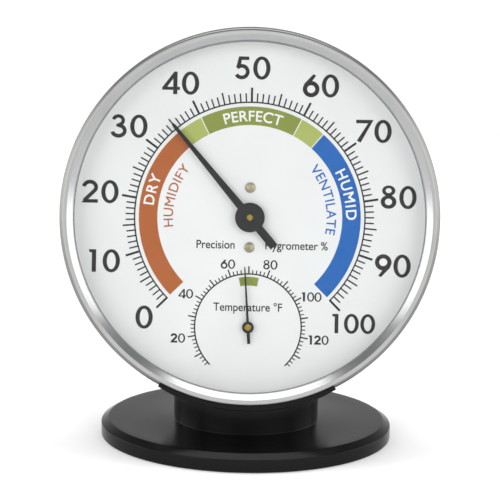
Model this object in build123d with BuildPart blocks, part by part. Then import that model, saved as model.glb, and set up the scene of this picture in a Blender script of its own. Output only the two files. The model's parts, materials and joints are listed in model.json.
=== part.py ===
"""Dial hygrometer with a small thermometer, on a weighted desk stand.

Millimetres, +Z up, the dial faces -Y. The origin is the middle of the stand's underside.
The instrument is drawn about the dial axis: local x right, local y up the dial and local z
out of the dial towards the reader, with z = 0 at the crest of the bezel.
"""
from build123d import *
import os
from math import atan2, cos, degrees, hypot, radians, sin

os.makedirs("parts", exist_ok=True)

# ---- stand ---------------------------------------------------------------------------
BASE_HALF_WIDTH = 52.2
BASE_HALF_DEPTH = 42.0
BASE_TOP = 6.4
BASE_CHAMFER_WIDTH = 2.65
BASE_CHAMFER_HEIGHT = 1.66
RIM_BOTTOM = 0.15           # the moulding stands this far off the table, on its pad
RIM_WALL = 2.4
POCKET_TOP = 4.3
POCKET_PLAY = 0.3           # gap round the ballast plate and the pad
BALLAST_THICK = 2.9
BALLAST_SCREW_X = 15.0
BALLAST_SCREW_RADIUS = 1.5
BALLAST_SCREW_DEPTH = 3.4   # thread engagement in the neck
BALLAST_HEAD_RADIUS = 2.9
BALLAST_HEAD_SUNK = 0.1     # the heads sit this far below the face of the weight
BALLAST_HEAD_PLAY = 0.15
BALLAST_SHANK_PLAY = 0.05
BALLAST_SCREW_SHORT = 0.2   # gap at the blind end of each hole
NECK_HALF_WIDTH = 26.0
NECK_HALF_DEPTH = 21.0
NECK_RAW_TOP = 30.0         # before the cradle is cut out of it
NECK_CUT_BACK = -57.0       # local z where the cut for the case stops

# ---- where the dial sits ---------------------------------------------------------------
TILT = 13.0                 # the dial leans back by this many degrees
DIAL_Y = -18.9              # centre of the bezel's crest, in the stand's frame
DIAL_Z = 84.5

# ---- cradle that holds the case --------------------------------------------------------
CRADLE_HALF_ANGLE = 27.6
CRADLE_OUTER = 66.5
CRADLE_RING_SEAT = 65.6
CRADLE_CASE_SEAT = 63.0
CRADLE_LIP_INNER = 64.7
CRADLE_FRONT = 0.3
CRADLE_BACK = -38.0
BACKSTOP_FRONT = -35.2
BACKSTOP_INNER = 50.0
BACKSTOP_HALF_ANGLE = 19.0
CRADLE_PLAY = 0.1           # gap between the bezel's back and the cradle's step
LIP_ROOT = 0.2              # how far the lip's section runs into the cradle wall
LIP_SHOULDER = (65.35, -0.75)
LIP_TOE_Z = -0.1
BACKSTOP_ROOT = 0.5         # how far the backstop runs into the cradle wall

# ---- bezel ring, window and dial -------------------------------------------------------
RING_OUTER = 65.5
RING_BACK = -13.5
RING_SKIRT_INNER = 62.9
CREST_INNER = 62.9
CREST_OUTER = 64.1
BEVEL_DEPTH = 1.8
BEVEL_MIDDLE = (65.05, -0.62)
RING_BACK_CHAMFER = 0.4
OPENING_RADIUS = 60.75
FUNNEL_DEPTH = 1.7
FUNNEL_EDGE = 0.35          # small chamfer between the funnel and the opening
SHELF_Z = -3.0
GASKET_INNER = 60.45
GASKET_BACK = -3.5
WINDOW_BACK = -5.1
INSERT_RADIUS = 62.6        # window, spacer and dial all share this outside radius
SPACER_INNER = 61.3
DIAL_FRONT = -9.0
DIAL_BACK = -9.8
GRUB_Z = -11.7
GRUB_RADIUS = 1.0
GRUB_PLAY = 0.03
GRUB_SLOT_WIDTH = 0.4
GRUB_SLOT_DEPTH = 0.6
GRUB_TIP = 61.2
GRUB_HEAD = 65.2
GRUB_ANGLES = (30, 150, 270)

# ---- rear case -------------------------------------------------------------------------
CASE_OUTER = 62.8
CASE_WALL = 2.2
CASE_BACK = -35.0
CASE_EDGE_ROUND = 4.0
VENT_RADII = (26.0, 32.0, 38.0)
VENT_WIDTH = 2.4
VENT_HALF_ANGLE = 28.0
SCREW_ACCESS_RADIUS = 3.4
HANGER_Y = 44.0
HANGER_HOLE_RADIUS = 4.5
HANGER_SLOT_WIDTH = 4.4
HANGER_SLOT_RISE = 7.0

# ---- pointers --------------------------------------------------------------------------
HUMIDITY_REST = 40.5        # degrees left of straight up, at 35 %
HUMIDITY_BACK = -7.1
HUMIDITY_FRONT = -6.7
HUMIDITY_TIP = 43.0
HUMIDITY_TAPER_Y = 41.3     # where the arm starts to run to its point
HUMIDITY_TAPER_HALF = 0.58  # half widths of the arm
HUMIDITY_ARM_Y = 5.0
HUMIDITY_ARM_HALF = 1.35
HUMIDITY_TAIL = 13.15
HUMIDITY_TAIL_HALF = 1.45
HUMIDITY_HUB_RADIUS = 5.15
HUMIDITY_COLLAR_RADIUS = 1.9
HUMIDITY_COLLAR_LENGTH = 1.2
THERMO_Y = -38.15           # centre of the small dial
TEMPERATURE_REST = 4.0      # degrees left of straight up, at 68 F
TEMPERATURE_BACK = -7.6
TEMPERATURE_FRONT = -7.3
TEMPERATURE_TIP = 21.2
TEMPERATURE_TAPER_Y = 20.6
TEMPERATURE_TAPER_HALF = 0.22
TEMPERATURE_ARM_Y = 2.0
TEMPERATURE_ARM_HALF = 0.45
TEMPERATURE_TAIL = 5.75
TEMPERATURE_TAIL_HALF = 0.55
TEMPERATURE_HUB_RADIUS = 2.05
TEMPERATURE_COLLAR_RADIUS = 1.2
TEMPERATURE_COLLAR_LENGTH = 0.9
ARBOR_RADIUS = 0.75
CAP_RADIUS = 1.1            # turned end of each arbor, in front of its pointer
CAP_HEIGHT = 0.6
CAP_CHAMFER = 0.4
BEARING_PLAY = 0.05         # radial
PIVOT_RADIUS = 0.5
PIVOT_SHOULDER = 0.1        # end play between an arbor's shoulder and its rear bearing
PIVOT_PROUD = 0.2           # length of a pivot that shows behind its bearing

# ---- movement --------------------------------------------------------------------------
FRAME_FRONT = -21.0
FRAME_BACK = -22.0
PILLAR_Y = 10.4
PILLAR_RADIUS = 2.2
SPIGOT_RADIUS = 1.2
DIAL_SCREW_HEAD = 1.85
DIAL_SCREW_SHANK = 0.9
DIAL_SCREW_PLAY = 0.1
DIAL_SCREW_END = -14.0
DIAL_SCREW_EDGE = 0.25
DIAL_SCREW_DOME = 0.85
BUSH_RADIUS = 1.6
BUSH_FLANGE = 1.0           # width of the flange on the dial
BUSH_FRONT = -8.6
BUSH_BACK = -12.0
GEAR_MODULE = 0.5
PINION_TEETH = 12
SECTOR_WHOLE_TEETH = 96     # teeth if the sector were a whole wheel
SECTOR_TEETH = 13
SECTOR_PITCH = 360 / SECTOR_WHOLE_TEETH
SECTOR_MIDDLE = 180 - 1.5 * SECTOR_PITCH    # middle tooth at rest; a gap faces the pinion
SECTOR_HALF_ANGLE = 24.5
SECTOR_X = GEAR_MODULE * (PINION_TEETH + SECTOR_WHOLE_TEETH) / 2
SECTOR_FRONT = -16.0
SECTOR_BACK = -17.2
SECTOR_RIM_INNER = 21.0
SECTOR_ROOT = 23.55
SECTOR_TIP = 24.35
SECTOR_ARM_ANGLE = 20.0
SECTOR_HUB_RADIUS = 3.0
SECTOR_ARM_WIDTH = 1.8
SHORT_ARM_WIDTH = 2.4
HAIR_EYE_RADIUS = 0.5
PINION_FRONT = -15.6
PINION_BACK = -17.6
PINION_ROOT = 2.4
PINION_TIP = 3.3
SHORT_ARM = 4.5             # radius at which the hair pulls on the sector
STUD_RADIUS = 1.0
STUD_SPIGOT_RADIUS = 0.9
STUD_SHOULDER = 0.8
STUD_GROOVE = 0.3
STUD_END = 0.5
STUD_PLAY = 0.1             # end play of the sector between shoulder and clip
CLIP_WIDTH = 1.3
CLIP_GAP = 1.2
CLIP_BACK = -15.8
CLIP_FRONT = -15.4
STRAP_WIDTH = 8.0
SPRING_FRONT = -13.1
SPRING_BACK = -13.5
SPRING_STRIP = 0.15
COLLET_RADIUS = 1.5
HAIR_X = SECTOR_X + SHORT_ARM
HAIR_Z = (SECTOR_FRONT + SECTOR_BACK) / 2
HAIR_RADIUS = 0.4
HAIR_TOP = -2.6             # clears the swing of the sector's short arm
POST_RADIUS = 1.5
POST_X = HAIR_X + HAIR_RADIUS + POST_RADIUS + BEARING_PLAY
POST_Y = -42.0
POST_HEAD_RADIUS = 3.0
POST_FRONT = -15.0
POST_COLLAR_RADIUS = 2.3
POST_COLLAR_FRONT = -20.0
POST_SLOT_WIDTH = 0.8
POST_SLOT_DEPTH = 1.2
POST_HEAD_FRONT = -29.0
POST_HEAD_BACK = -32.0
WASHER_RADIUS = 3.2
WASHER_THICK = 0.5
CRIMP_RADIUS = 0.8
CRIMP_LENGTH = 3.0

# ---- thermometer -----------------------------------------------------------------------
BRACKET_HALF_WIDTH = 11.0
BRACKET_HALF_HEIGHT = 4.0
BRACKET_THICK = 0.8
BRACKET_FLOOR = -20.0       # front face of the bracket's rear web
COIL_FRONT = -13.0
COIL_BACK = -15.8
COIL_STRIP = 0.3
COIL_COLLAR_EXTRA = 0.5     # the collar is longer than the coil at both ends
THERMO_ARBOR_RADIUS = 0.65
THERMO_CAP_RADIUS = 1.15
THERMO_BUSH_RADIUS = 1.3
THERMO_BUSH_FRONT = -8.7
THERMO_BUSH_FLANGE = 0.6
THERMO_COLLAR_RADIUS = 1.4

CUT = 1.0                   # cutters run past a surface by this much
TOOTH_ROOT = 0.2            # teeth start this far inside their wheel's rim

dial = Plane(
    origin=(0, DIAL_Y, DIAL_Z),
    x_dir=(1, 0, 0),
    z_dir=(0, -cos(radians(TILT)), sin(radians(TILT))),
)


def at(z, x=0, y=0, turn=0):
    """Plane parallel to the dial at local height z, centred on local x, y and turned."""
    x_dir = dial.x_dir * cos(radians(turn)) + dial.y_dir * sin(radians(turn))
    return Plane(origin=dial.from_local_coords(Vector(x, y, z)), x_dir=x_dir, z_dir=dial.z_dir)


def half_section(x=0, y=0, turn=0):
    """Plane through the dial direction at local x, y: its x is radius, its y is local z."""
    radius_dir = dial.x_dir * cos(radians(turn)) + dial.y_dir * sin(radians(turn))
    centre = dial.from_local_coords(Vector(x, y, 0))
    return Plane(origin=centre, x_dir=radius_dir, z_dir=radius_dir.cross(dial.z_dir))


def axis_at(x=0, y=0):
    """Axis out of the dial through local x, y."""
    return Axis(dial.from_local_coords(Vector(x, y, 0)), dial.z_dir)


def radial_plane(turn, z=GRUB_Z):
    """Plane through the dial axis at depth z that faces outwards in the given direction."""
    outward = dial.x_dir * cos(radians(turn)) + dial.y_dir * sin(radians(turn))
    return Plane(origin=dial.from_local_coords(Vector(0, 0, z)), x_dir=dial.z_dir, z_dir=outward)


def plane_up(x, y, z):
    """Plane across the dial's up direction at a local point."""
    return Plane(origin=dial.from_local_coords(Vector(x, y, z)), x_dir=dial.x_dir, z_dir=dial.y_dir)


def on_arc(radius, angle):
    return (radius * cos(radians(angle)), radius * sin(radians(angle)))


def arc_outline(inner, outer, middle, half_angle):
    """Outline of a stretch of ring about the origin of the current sketch plane."""
    start = middle - half_angle
    stop = middle + half_angle
    ThreePointArc(on_arc(inner, start), on_arc(inner, middle), on_arc(inner, stop))
    Line(on_arc(inner, stop), on_arc(outer, stop))
    ThreePointArc(on_arc(outer, stop), on_arc(outer, middle), on_arc(outer, start))
    Line(on_arc(outer, start), on_arc(inner, start))


def spiral_outline(inner, outer, turns, strip, end_angle):
    """Flat coil of the given strip thickness whose outer end lies at end_angle."""
    steps = round(turns * 12)
    inside = []
    outside = []
    for step in range(steps + 1):
        share = step / steps
        radius = inner + (outer - strip - inner) * share
        angle = end_angle + 360 * turns * (share - 1)
        inside.append(on_arc(radius, angle))
        outside.append(on_arc(radius + strip, angle))
    Spline(*inside)
    Line(inside[-1], outside[-1])
    Spline(*reversed(outside))
    Line(outside[0], inside[0])


def strap(start, stop, width):
    """Round-ended bar in the current sketch between two points."""
    run = (stop[0] - start[0], stop[1] - start[1])
    with Locations(((start[0] + stop[0]) / 2, (start[1] + stop[1]) / 2)):
        SlotCenterToCenter(hypot(*run), width, rotation=degrees(atan2(run[1], run[0])))


def gear_tooth(teeth, root, tip, middle):
    """One straight-flanked tooth, thinned for backlash, about the current origin."""
    half_pitch = 90 / teeth
    root_half = 1.05 * half_pitch
    tip_half = 0.45 * half_pitch
    Polygon(
        on_arc(root - TOOTH_ROOT, middle - root_half),
        on_arc(root, middle - root_half),
        on_arc(tip, middle - tip_half),
        on_arc(tip, middle + tip_half),
        on_arc(root, middle + root_half),
        on_arc(root - TOOTH_ROOT, middle + root_half),
        align=None,
    )


def turn_profile(*corners, x=0, y=0, mode=Mode.ADD):
    """Turn (radius, z) corners about the dial direction through local x, y."""
    with BuildSketch(half_section(x, y)) as profile:
        Polygon(*corners, align=None)
    revolve(profile.sketch, axis=axis_at(x, y), mode=mode)


def bore(radius, back, front, x=0, y=0):
    """Round hole along the dial direction between two depths."""
    turn_profile((0, back), (radius, back), (radius, front), (0, front), x=x, y=y, mode=Mode.SUBTRACT)


# ======================================================================================
# Stand
# ======================================================================================
# Foot, neck and cradle are one moulding.
with BuildPart() as stand:
    with BuildSketch(Plane.XY.offset(RIM_BOTTOM)):
        Ellipse(BASE_HALF_WIDTH, BASE_HALF_DEPTH)
    extrude(amount=BASE_TOP - BASE_CHAMFER_HEIGHT - RIM_BOTTOM)
    with BuildSketch(Plane.XY.offset(BASE_TOP - BASE_CHAMFER_HEIGHT)):
        Ellipse(BASE_HALF_WIDTH, BASE_HALF_DEPTH)
    with BuildSketch(Plane.XY.offset(BASE_TOP)):
        Ellipse(BASE_HALF_WIDTH - BASE_CHAMFER_WIDTH, BASE_HALF_DEPTH - BASE_CHAMFER_WIDTH)
    loft()
    with BuildSketch(Plane.XY.offset(POCKET_TOP)):
        Ellipse(NECK_HALF_WIDTH, NECK_HALF_DEPTH)
    extrude(amount=NECK_RAW_TOP - POCKET_TOP)
    # the neck is hollowed along the case, right through to its rear edge but not into the foot
    with BuildSketch(at(NECK_CUT_BACK)):
        Circle(CRADLE_OUTER)
    extrude(amount=CRADLE_FRONT + NECK_HALF_DEPTH - NECK_CUT_BACK, mode=Mode.SUBTRACT)
    with BuildSketch(at(CRADLE_BACK)):
        with BuildLine():
            arc_outline(CRADLE_CASE_SEAT, CRADLE_OUTER, -90, CRADLE_HALF_ANGLE)
        make_face()
    extrude(amount=RING_BACK - CRADLE_PLAY - CRADLE_BACK)
    with BuildSketch(at(RING_BACK - CRADLE_PLAY)):
        with BuildLine():
            arc_outline(CRADLE_RING_SEAT, CRADLE_OUTER, -90, CRADLE_HALF_ANGLE)
        make_face()
    extrude(amount=CRADLE_FRONT + CRADLE_PLAY - RING_BACK)
    with BuildSketch(at(CRADLE_BACK)):
        with BuildLine():
            arc_outline(BACKSTOP_INNER, CRADLE_CASE_SEAT + BACKSTOP_ROOT, -90, BACKSTOP_HALF_ANGLE)
        make_face()
    extrude(amount=BACKSTOP_FRONT - CRADLE_BACK)
    # lip over the bezel's bevel, which keeps the case from sliding out forwards
    with BuildSketch(half_section(turn=-90 - CRADLE_HALF_ANGLE)):
        with BuildLine():
            Polyline(
                (CRADLE_RING_SEAT + LIP_ROOT, -BEVEL_DEPTH),
                (CRADLE_RING_SEAT, -BEVEL_DEPTH),
                LIP_SHOULDER,
                (CRADLE_LIP_INNER, LIP_TOE_Z),
                (CRADLE_LIP_INNER, CRADLE_FRONT),
                (CRADLE_RING_SEAT + LIP_ROOT, CRADLE_FRONT),
                close=True,
            )
        make_face()
    revolve(axis=axis_at(), revolution_arc=2 * CRADLE_HALF_ANGLE)
    with BuildSketch(Plane.XY.offset(RIM_BOTTOM)):
        Ellipse(BASE_HALF_WIDTH - RIM_WALL, BASE_HALF_DEPTH - RIM_WALL)
    extrude(amount=POCKET_TOP - RIM_BOTTOM, mode=Mode.SUBTRACT)
    with BuildSketch(Plane.XY.offset(POCKET_TOP)):
        with Locations((-BALLAST_SCREW_X, 0), (BALLAST_SCREW_X, 0)):
            Circle(BALLAST_SCREW_RADIUS)
    extrude(amount=BALLAST_SCREW_DEPTH, mode=Mode.SUBTRACT)
stand.part.label = "stand"
export_step(stand.part, "parts/stand.step")

POCKET_HALF_WIDTH = BASE_HALF_WIDTH - RIM_WALL - POCKET_PLAY
POCKET_HALF_DEPTH = BASE_HALF_DEPTH - RIM_WALL - POCKET_PLAY
BALLAST_BOTTOM = POCKET_TOP - BALLAST_THICK

# Steel weight in the hollow of the foot.
with BuildPart() as ballast_plate:
    with BuildSketch(Plane.XY.offset(BALLAST_BOTTOM)):
        Ellipse(POCKET_HALF_WIDTH, POCKET_HALF_DEPTH)
    extrude(amount=BALLAST_THICK)
    underside = Plane(origin=(0, 0, BALLAST_BOTTOM), z_dir=(0, 0, -1))
    with Locations(underside):
        with Locations((-BALLAST_SCREW_X, 0), (BALLAST_SCREW_X, 0)):
            CounterSinkHole(BALLAST_SCREW_RADIUS, BALLAST_HEAD_RADIUS)
ballast_plate.part.label = "ballast_plate"
export_step(ballast_plate.part, "parts/ballast_plate.step")

# Two countersunk screws that hold the weight up into the neck.
HEAD_FACE = BALLAST_BOTTOM + BALLAST_HEAD_SUNK
HEAD_TOP = HEAD_FACE + BALLAST_HEAD_RADIUS - BALLAST_SCREW_RADIUS
SHANK_RADIUS = BALLAST_SCREW_RADIUS - BALLAST_SHANK_PLAY
SHANK_TOP = POCKET_TOP + BALLAST_SCREW_DEPTH - BALLAST_SCREW_SHORT
with BuildPart() as ballast_screws:
    for screw_x in (-BALLAST_SCREW_X, BALLAST_SCREW_X):
        screw_section = Plane(origin=(screw_x, 0, 0), x_dir=(1, 0, 0), z_dir=(0, -1, 0))
        with BuildSketch(screw_section):
            with BuildLine():
                Polyline(
                    (0, HEAD_FACE),
                    (BALLAST_HEAD_RADIUS - BALLAST_HEAD_PLAY, HEAD_FACE),
                    (SHANK_RADIUS, HEAD_TOP),
                    (SHANK_RADIUS, SHANK_TOP),
                    (0, SHANK_TOP),
                    close=True,
                )
            make_face()
        revolve(axis=Axis((screw_x, 0, 0), (0, 0, 1)))
ballast_screws.part.label = "ballast_screws"
export_step(ballast_screws.part, "parts/ballast_screws.step")

# Non-slip pad bonded under the weight; the whole instrument rests on it.
with BuildPart() as foot_pad:
    with BuildSketch(Plane.XY):
        Ellipse(POCKET_HALF_WIDTH, POCKET_HALF_DEPTH)
    extrude(amount=BALLAST_BOTTOM)
foot_pad.part.label = "foot_pad"
export_step(foot_pad.part, "parts/foot_pad.step")

# ======================================================================================
# Case
# ======================================================================================
# Turned metal bezel: funnel facet inside, flat crest, rounded bevel and skirt outside.
with BuildPart() as bezel_ring:
    with BuildSketch(half_section()):
        with BuildLine():
            Polyline(
                (CREST_OUTER, 0),
                (CREST_INNER, 0),
                (OPENING_RADIUS + FUNNEL_EDGE, -FUNNEL_DEPTH),
                (OPENING_RADIUS, -FUNNEL_DEPTH - FUNNEL_EDGE),
                (OPENING_RADIUS, SHELF_Z),
                (RING_SKIRT_INNER, SHELF_Z),
                (RING_SKIRT_INNER, RING_BACK),
                (RING_OUTER - RING_BACK_CHAMFER, RING_BACK),
                (RING_OUTER, RING_BACK + RING_BACK_CHAMFER),
                (RING_OUTER, -BEVEL_DEPTH),
            )
            ThreePointArc((RING_OUTER, -BEVEL_DEPTH), BEVEL_MIDDLE, (CREST_OUTER, 0))
        make_face()
    revolve(axis=axis_at())
    for turn in GRUB_ANGLES:
        with BuildSketch(radial_plane(turn)):
            Circle(GRUB_RADIUS + GRUB_PLAY)
        extrude(amount=RING_OUTER + CUT, mode=Mode.SUBTRACT)
bezel_ring.part.label = "bezel_ring"
export_step(bezel_ring.part, "parts/bezel_ring.step")

# Grub screws through the skirt of the bezel into the case.
with BuildPart() as grub_screws:
    for turn in GRUB_ANGLES:
        with BuildSketch(radial_plane(turn).offset(GRUB_TIP)):
            Circle(GRUB_RADIUS)
        extrude(amount=GRUB_HEAD - GRUB_TIP)
        with BuildSketch(radial_plane(turn).offset(GRUB_HEAD)):
            Rectangle(3 * GRUB_RADIUS, GRUB_SLOT_WIDTH)
        extrude(amount=-GRUB_SLOT_DEPTH, mode=Mode.SUBTRACT)
grub_screws.part.label = "grub_screws"
export_step(grub_screws.part, "parts/grub_screws.step")

# Rubber ring between the bezel's shelf and the window.
with BuildPart() as window_gasket:
    turn_profile(
        (GASKET_INNER, GASKET_BACK),
        (INSERT_RADIUS, GASKET_BACK),
        (INSERT_RADIUS, SHELF_Z),
        (GASKET_INNER, SHELF_Z),
    )
window_gasket.part.label = "window_gasket"
export_step(window_gasket.part, "parts/window_gasket.step")

# Flat clear window.
with BuildPart() as window:
    with BuildSketch(at(WINDOW_BACK)):
        Circle(INSERT_RADIUS)
    extrude(amount=GASKET_BACK - WINDOW_BACK)
window.part.label = "window"
export_step(window.part, "parts/window.step")

# Ring that keeps the dial away from the window.
with BuildPart() as spacer_ring:
    with BuildSketch(at(DIAL_FRONT)):
        Circle(INSERT_RADIUS)
        Circle(SPACER_INNER, mode=Mode.SUBTRACT)
    extrude(amount=WINDOW_BACK - DIAL_FRONT)
spacer_ring.part.label = "spacer_ring"
export_step(spacer_ring.part, "parts/spacer_ring.step")

# Printed metal dial that also carries both movements.
with BuildPart() as dial_plate:
    with BuildSketch(at(DIAL_BACK)):
        Circle(INSERT_RADIUS)
        Circle(BUSH_RADIUS, mode=Mode.SUBTRACT)
        with Locations((0, THERMO_Y)):
            Circle(THERMO_BUSH_RADIUS, mode=Mode.SUBTRACT)
        with Locations((0, PILLAR_Y), (0, -PILLAR_Y)):
            Circle(DIAL_SCREW_SHANK + DIAL_SCREW_PLAY, mode=Mode.SUBTRACT)
    extrude(amount=DIAL_FRONT - DIAL_BACK)
dial_plate.part.label = "dial_plate"
export_step(dial_plate.part, "parts/dial_plate.step")

# Moulded cup with curved air vents, a keyhole for a wall hook and a hole over the
# calibration screw.
with BuildPart() as rear_case:
    with BuildSketch(half_section()):
        with BuildLine():
            Line((0, CASE_BACK), (CASE_OUTER - CASE_EDGE_ROUND, CASE_BACK))
            RadiusArc(
                (CASE_OUTER - CASE_EDGE_ROUND, CASE_BACK),
                (CASE_OUTER, CASE_BACK + CASE_EDGE_ROUND),
                -CASE_EDGE_ROUND,
            )
            Polyline(
                (CASE_OUTER, CASE_BACK + CASE_EDGE_ROUND),
                (CASE_OUTER, DIAL_BACK),
                (CASE_OUTER - CASE_WALL, DIAL_BACK),
                (CASE_OUTER - CASE_WALL, CASE_BACK + CASE_EDGE_ROUND),
            )
            RadiusArc(
                (CASE_OUTER - CASE_WALL, CASE_BACK + CASE_EDGE_ROUND),
                (CASE_OUTER - CASE_EDGE_ROUND, CASE_BACK + CASE_WALL),
                CASE_EDGE_ROUND - CASE_WALL,
            )
            Polyline(
                (CASE_OUTER - CASE_EDGE_ROUND, CASE_BACK + CASE_WALL),
                (0, CASE_BACK + CASE_WALL),
                (0, CASE_BACK),
            )
        make_face()
    revolve(axis=axis_at())
    with BuildSketch(at(CASE_BACK)):
        for radius in VENT_RADII:
            for middle in (0, 180):
                with BuildLine():
                    arc_outline(radius - VENT_WIDTH / 2, radius + VENT_WIDTH / 2, middle, VENT_HALF_ANGLE)
                make_face()
        with Locations((0, HANGER_Y)):
            Circle(HANGER_HOLE_RADIUS)
        with Locations((0, HANGER_Y + HANGER_SLOT_RISE / 2)):
            SlotCenterToCenter(HANGER_SLOT_RISE, HANGER_SLOT_WIDTH, rotation=90)
        with Locations((POST_X, POST_Y)):
            Circle(SCREW_ACCESS_RADIUS)
    extrude(amount=CASE_WALL, mode=Mode.SUBTRACT)
    for turn in GRUB_ANGLES:
        with BuildSketch(radial_plane(turn).offset(CASE_OUTER - 2 * CASE_WALL)):
            Circle(GRUB_RADIUS + GRUB_PLAY)
        extrude(amount=3 * CASE_WALL, mode=Mode.SUBTRACT)
rear_case.part.label = "rear_case"
export_step(rear_case.part, "parts/rear_case.step")

# ======================================================================================
# Humidity movement
# ======================================================================================
# Brass bush in the dial: front bearing of the pointer's arbor.
with BuildPart() as humidity_bush:
    turn_profile(
        (ARBOR_RADIUS + BEARING_PLAY, BUSH_BACK),
        (BUSH_RADIUS, BUSH_BACK),
        (BUSH_RADIUS, DIAL_FRONT),
        (BUSH_RADIUS + BUSH_FLANGE, DIAL_FRONT),
        (BUSH_RADIUS + BUSH_FLANGE, BUSH_FRONT),
        (ARBOR_RADIUS + BEARING_PLAY, BUSH_FRONT),
    )
humidity_bush.part.label = "humidity_bush"
export_step(humidity_bush.part, "parts/humidity_bush.step")

# Domed screws, seen on the dial, that hold the pillars behind it.
with BuildPart() as dial_screws:
    for side in (-1, 1):
        with BuildSketch(half_section(y=side * PILLAR_Y)):
            with BuildLine():
                Polyline(
                    (0, DIAL_SCREW_END),
                    (DIAL_SCREW_SHANK, DIAL_SCREW_END),
                    (DIAL_SCREW_SHANK, DIAL_FRONT),
                    (DIAL_SCREW_HEAD, DIAL_FRONT),
                    (DIAL_SCREW_HEAD, DIAL_FRONT + DIAL_SCREW_EDGE),
                )
                TangentArc(
                    (0, DIAL_FRONT + DIAL_SCREW_DOME),
                    (DIAL_SCREW_HEAD, DIAL_FRONT + DIAL_SCREW_EDGE),
                    tangent=(1, 0),
                )
                Line((0, DIAL_FRONT + DIAL_SCREW_DOME), (0, DIAL_SCREW_END))
            make_face()
        revolve(axis=axis_at(y=side * PILLAR_Y))
dial_screws.part.label = "dial_screws"
export_step(dial_screws.part, "parts/dial_screws.step")

# Two pillars between the dial and the movement frame, spigoted into the frame.
with BuildPart() as pillars:
    for side in (-1, 1):
        turn_profile(
            (0, FRAME_BACK),
            (SPIGOT_RADIUS, FRAME_BACK),
            (SPIGOT_RADIUS, FRAME_FRONT),
            (PILLAR_RADIUS, FRAME_FRONT),
            (PILLAR_RADIUS, DIAL_BACK),
            (DIAL_SCREW_SHANK, DIAL_BACK),
            (DIAL_SCREW_SHANK, DIAL_SCREW_END),
            (0, DIAL_SCREW_END),
            y=side * PILLAR_Y,
        )
pillars.part.label = "pillars"
export_step(pillars.part, "parts/pillars.step")

# Plate behind everything that turns: rear bearing, sector stud and calibration post.
with BuildPart() as movement_frame:
    with BuildSketch(at(FRAME_BACK)):
        strap((0, -PILLAR_Y), (0, PILLAR_Y), STRAP_WIDTH)
        strap((0, 0), (SECTOR_X, 0), STRAP_WIDTH)
        strap((SECTOR_X, 0), (POST_X, POST_Y), STRAP_WIDTH)
        Circle(PIVOT_RADIUS + BEARING_PLAY, mode=Mode.SUBTRACT)
        with Locations((0, PILLAR_Y), (0, -PILLAR_Y)):
            Circle(SPIGOT_RADIUS, mode=Mode.SUBTRACT)
        with Locations((SECTOR_X, 0)):
            Circle(STUD_SPIGOT_RADIUS, mode=Mode.SUBTRACT)
        with Locations((POST_X, POST_Y)):
            Circle(POST_RADIUS + BEARING_PLAY, mode=Mode.SUBTRACT)
    extrude(amount=FRAME_FRONT - FRAME_BACK)
movement_frame.part.label = "movement_frame"
export_step(movement_frame.part, "parts/movement_frame.step")

# Arbor of the big pointer, with a collar for the hairspring and a turned brass end.
with BuildPart() as humidity_arbor:
    turn_profile(
        (0, FRAME_BACK - PIVOT_PROUD),
        (PIVOT_RADIUS, FRAME_BACK - PIVOT_PROUD),
        (PIVOT_RADIUS, FRAME_FRONT + PIVOT_SHOULDER),
        (ARBOR_RADIUS, FRAME_FRONT + PIVOT_SHOULDER),
        (ARBOR_RADIUS, SPRING_BACK),
        (COLLET_RADIUS, SPRING_BACK),
        (COLLET_RADIUS, SPRING_FRONT),
        (ARBOR_RADIUS, SPRING_FRONT),
        (ARBOR_RADIUS, HUMIDITY_FRONT),
        (CAP_RADIUS, HUMIDITY_FRONT),
        (CAP_RADIUS, HUMIDITY_FRONT + CAP_HEIGHT - CAP_CHAMFER),
        (CAP_RADIUS - CAP_CHAMFER, HUMIDITY_FRONT + CAP_HEIGHT),
        (0, HUMIDITY_FRONT + CAP_HEIGHT),
    )
humidity_arbor.part.label = "humidity_arbor"
export_step(humidity_arbor.part, "parts/humidity_arbor.step")

# Pinion fixed on that arbor.
with BuildPart() as pinion:
    with BuildSketch(at(PINION_BACK)):
        Circle(PINION_ROOT)
        for tooth in range(PINION_TEETH):
            gear_tooth(PINION_TEETH, PINION_ROOT, PINION_TIP, tooth * 360 / PINION_TEETH)
        Circle(ARBOR_RADIUS, mode=Mode.SUBTRACT)
    extrude(amount=PINION_FRONT - PINION_BACK)
pinion.part.label = "pinion"
export_step(pinion.part, "parts/pinion.step")

# Toothed sector: the hair pulls its short arm and its teeth turn the pinion.
with BuildPart() as toothed_sector:
    with BuildSketch(at(SECTOR_BACK, x=SECTOR_X)):
        with BuildLine():
            arc_outline(SECTOR_RIM_INNER, SECTOR_ROOT, SECTOR_MIDDLE, SECTOR_HALF_ANGLE)
        make_face()
        for tooth in range(SECTOR_TEETH):
            turns = tooth - (SECTOR_TEETH - 1) / 2
            gear_tooth(SECTOR_WHOLE_TEETH, SECTOR_ROOT, SECTOR_TIP, SECTOR_MIDDLE + turns * SECTOR_PITCH)
        for side in (-1, 1):
            arm_end = on_arc(SECTOR_RIM_INNER, SECTOR_MIDDLE + side * SECTOR_ARM_ANGLE)
            strap((0, 0), arm_end, SECTOR_ARM_WIDTH)
        strap((0, 0), (SHORT_ARM, 0), SHORT_ARM_WIDTH)
        Circle(SECTOR_HUB_RADIUS)
        Circle(STUD_RADIUS + BEARING_PLAY, mode=Mode.SUBTRACT)
        with Locations((SHORT_ARM, 0)):
            Circle(HAIR_EYE_RADIUS, mode=Mode.SUBTRACT)
    extrude(amount=SECTOR_FRONT - SECTOR_BACK)
toothed_sector.part.label = "toothed_sector"
export_step(toothed_sector.part, "parts/toothed_sector.step")

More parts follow.
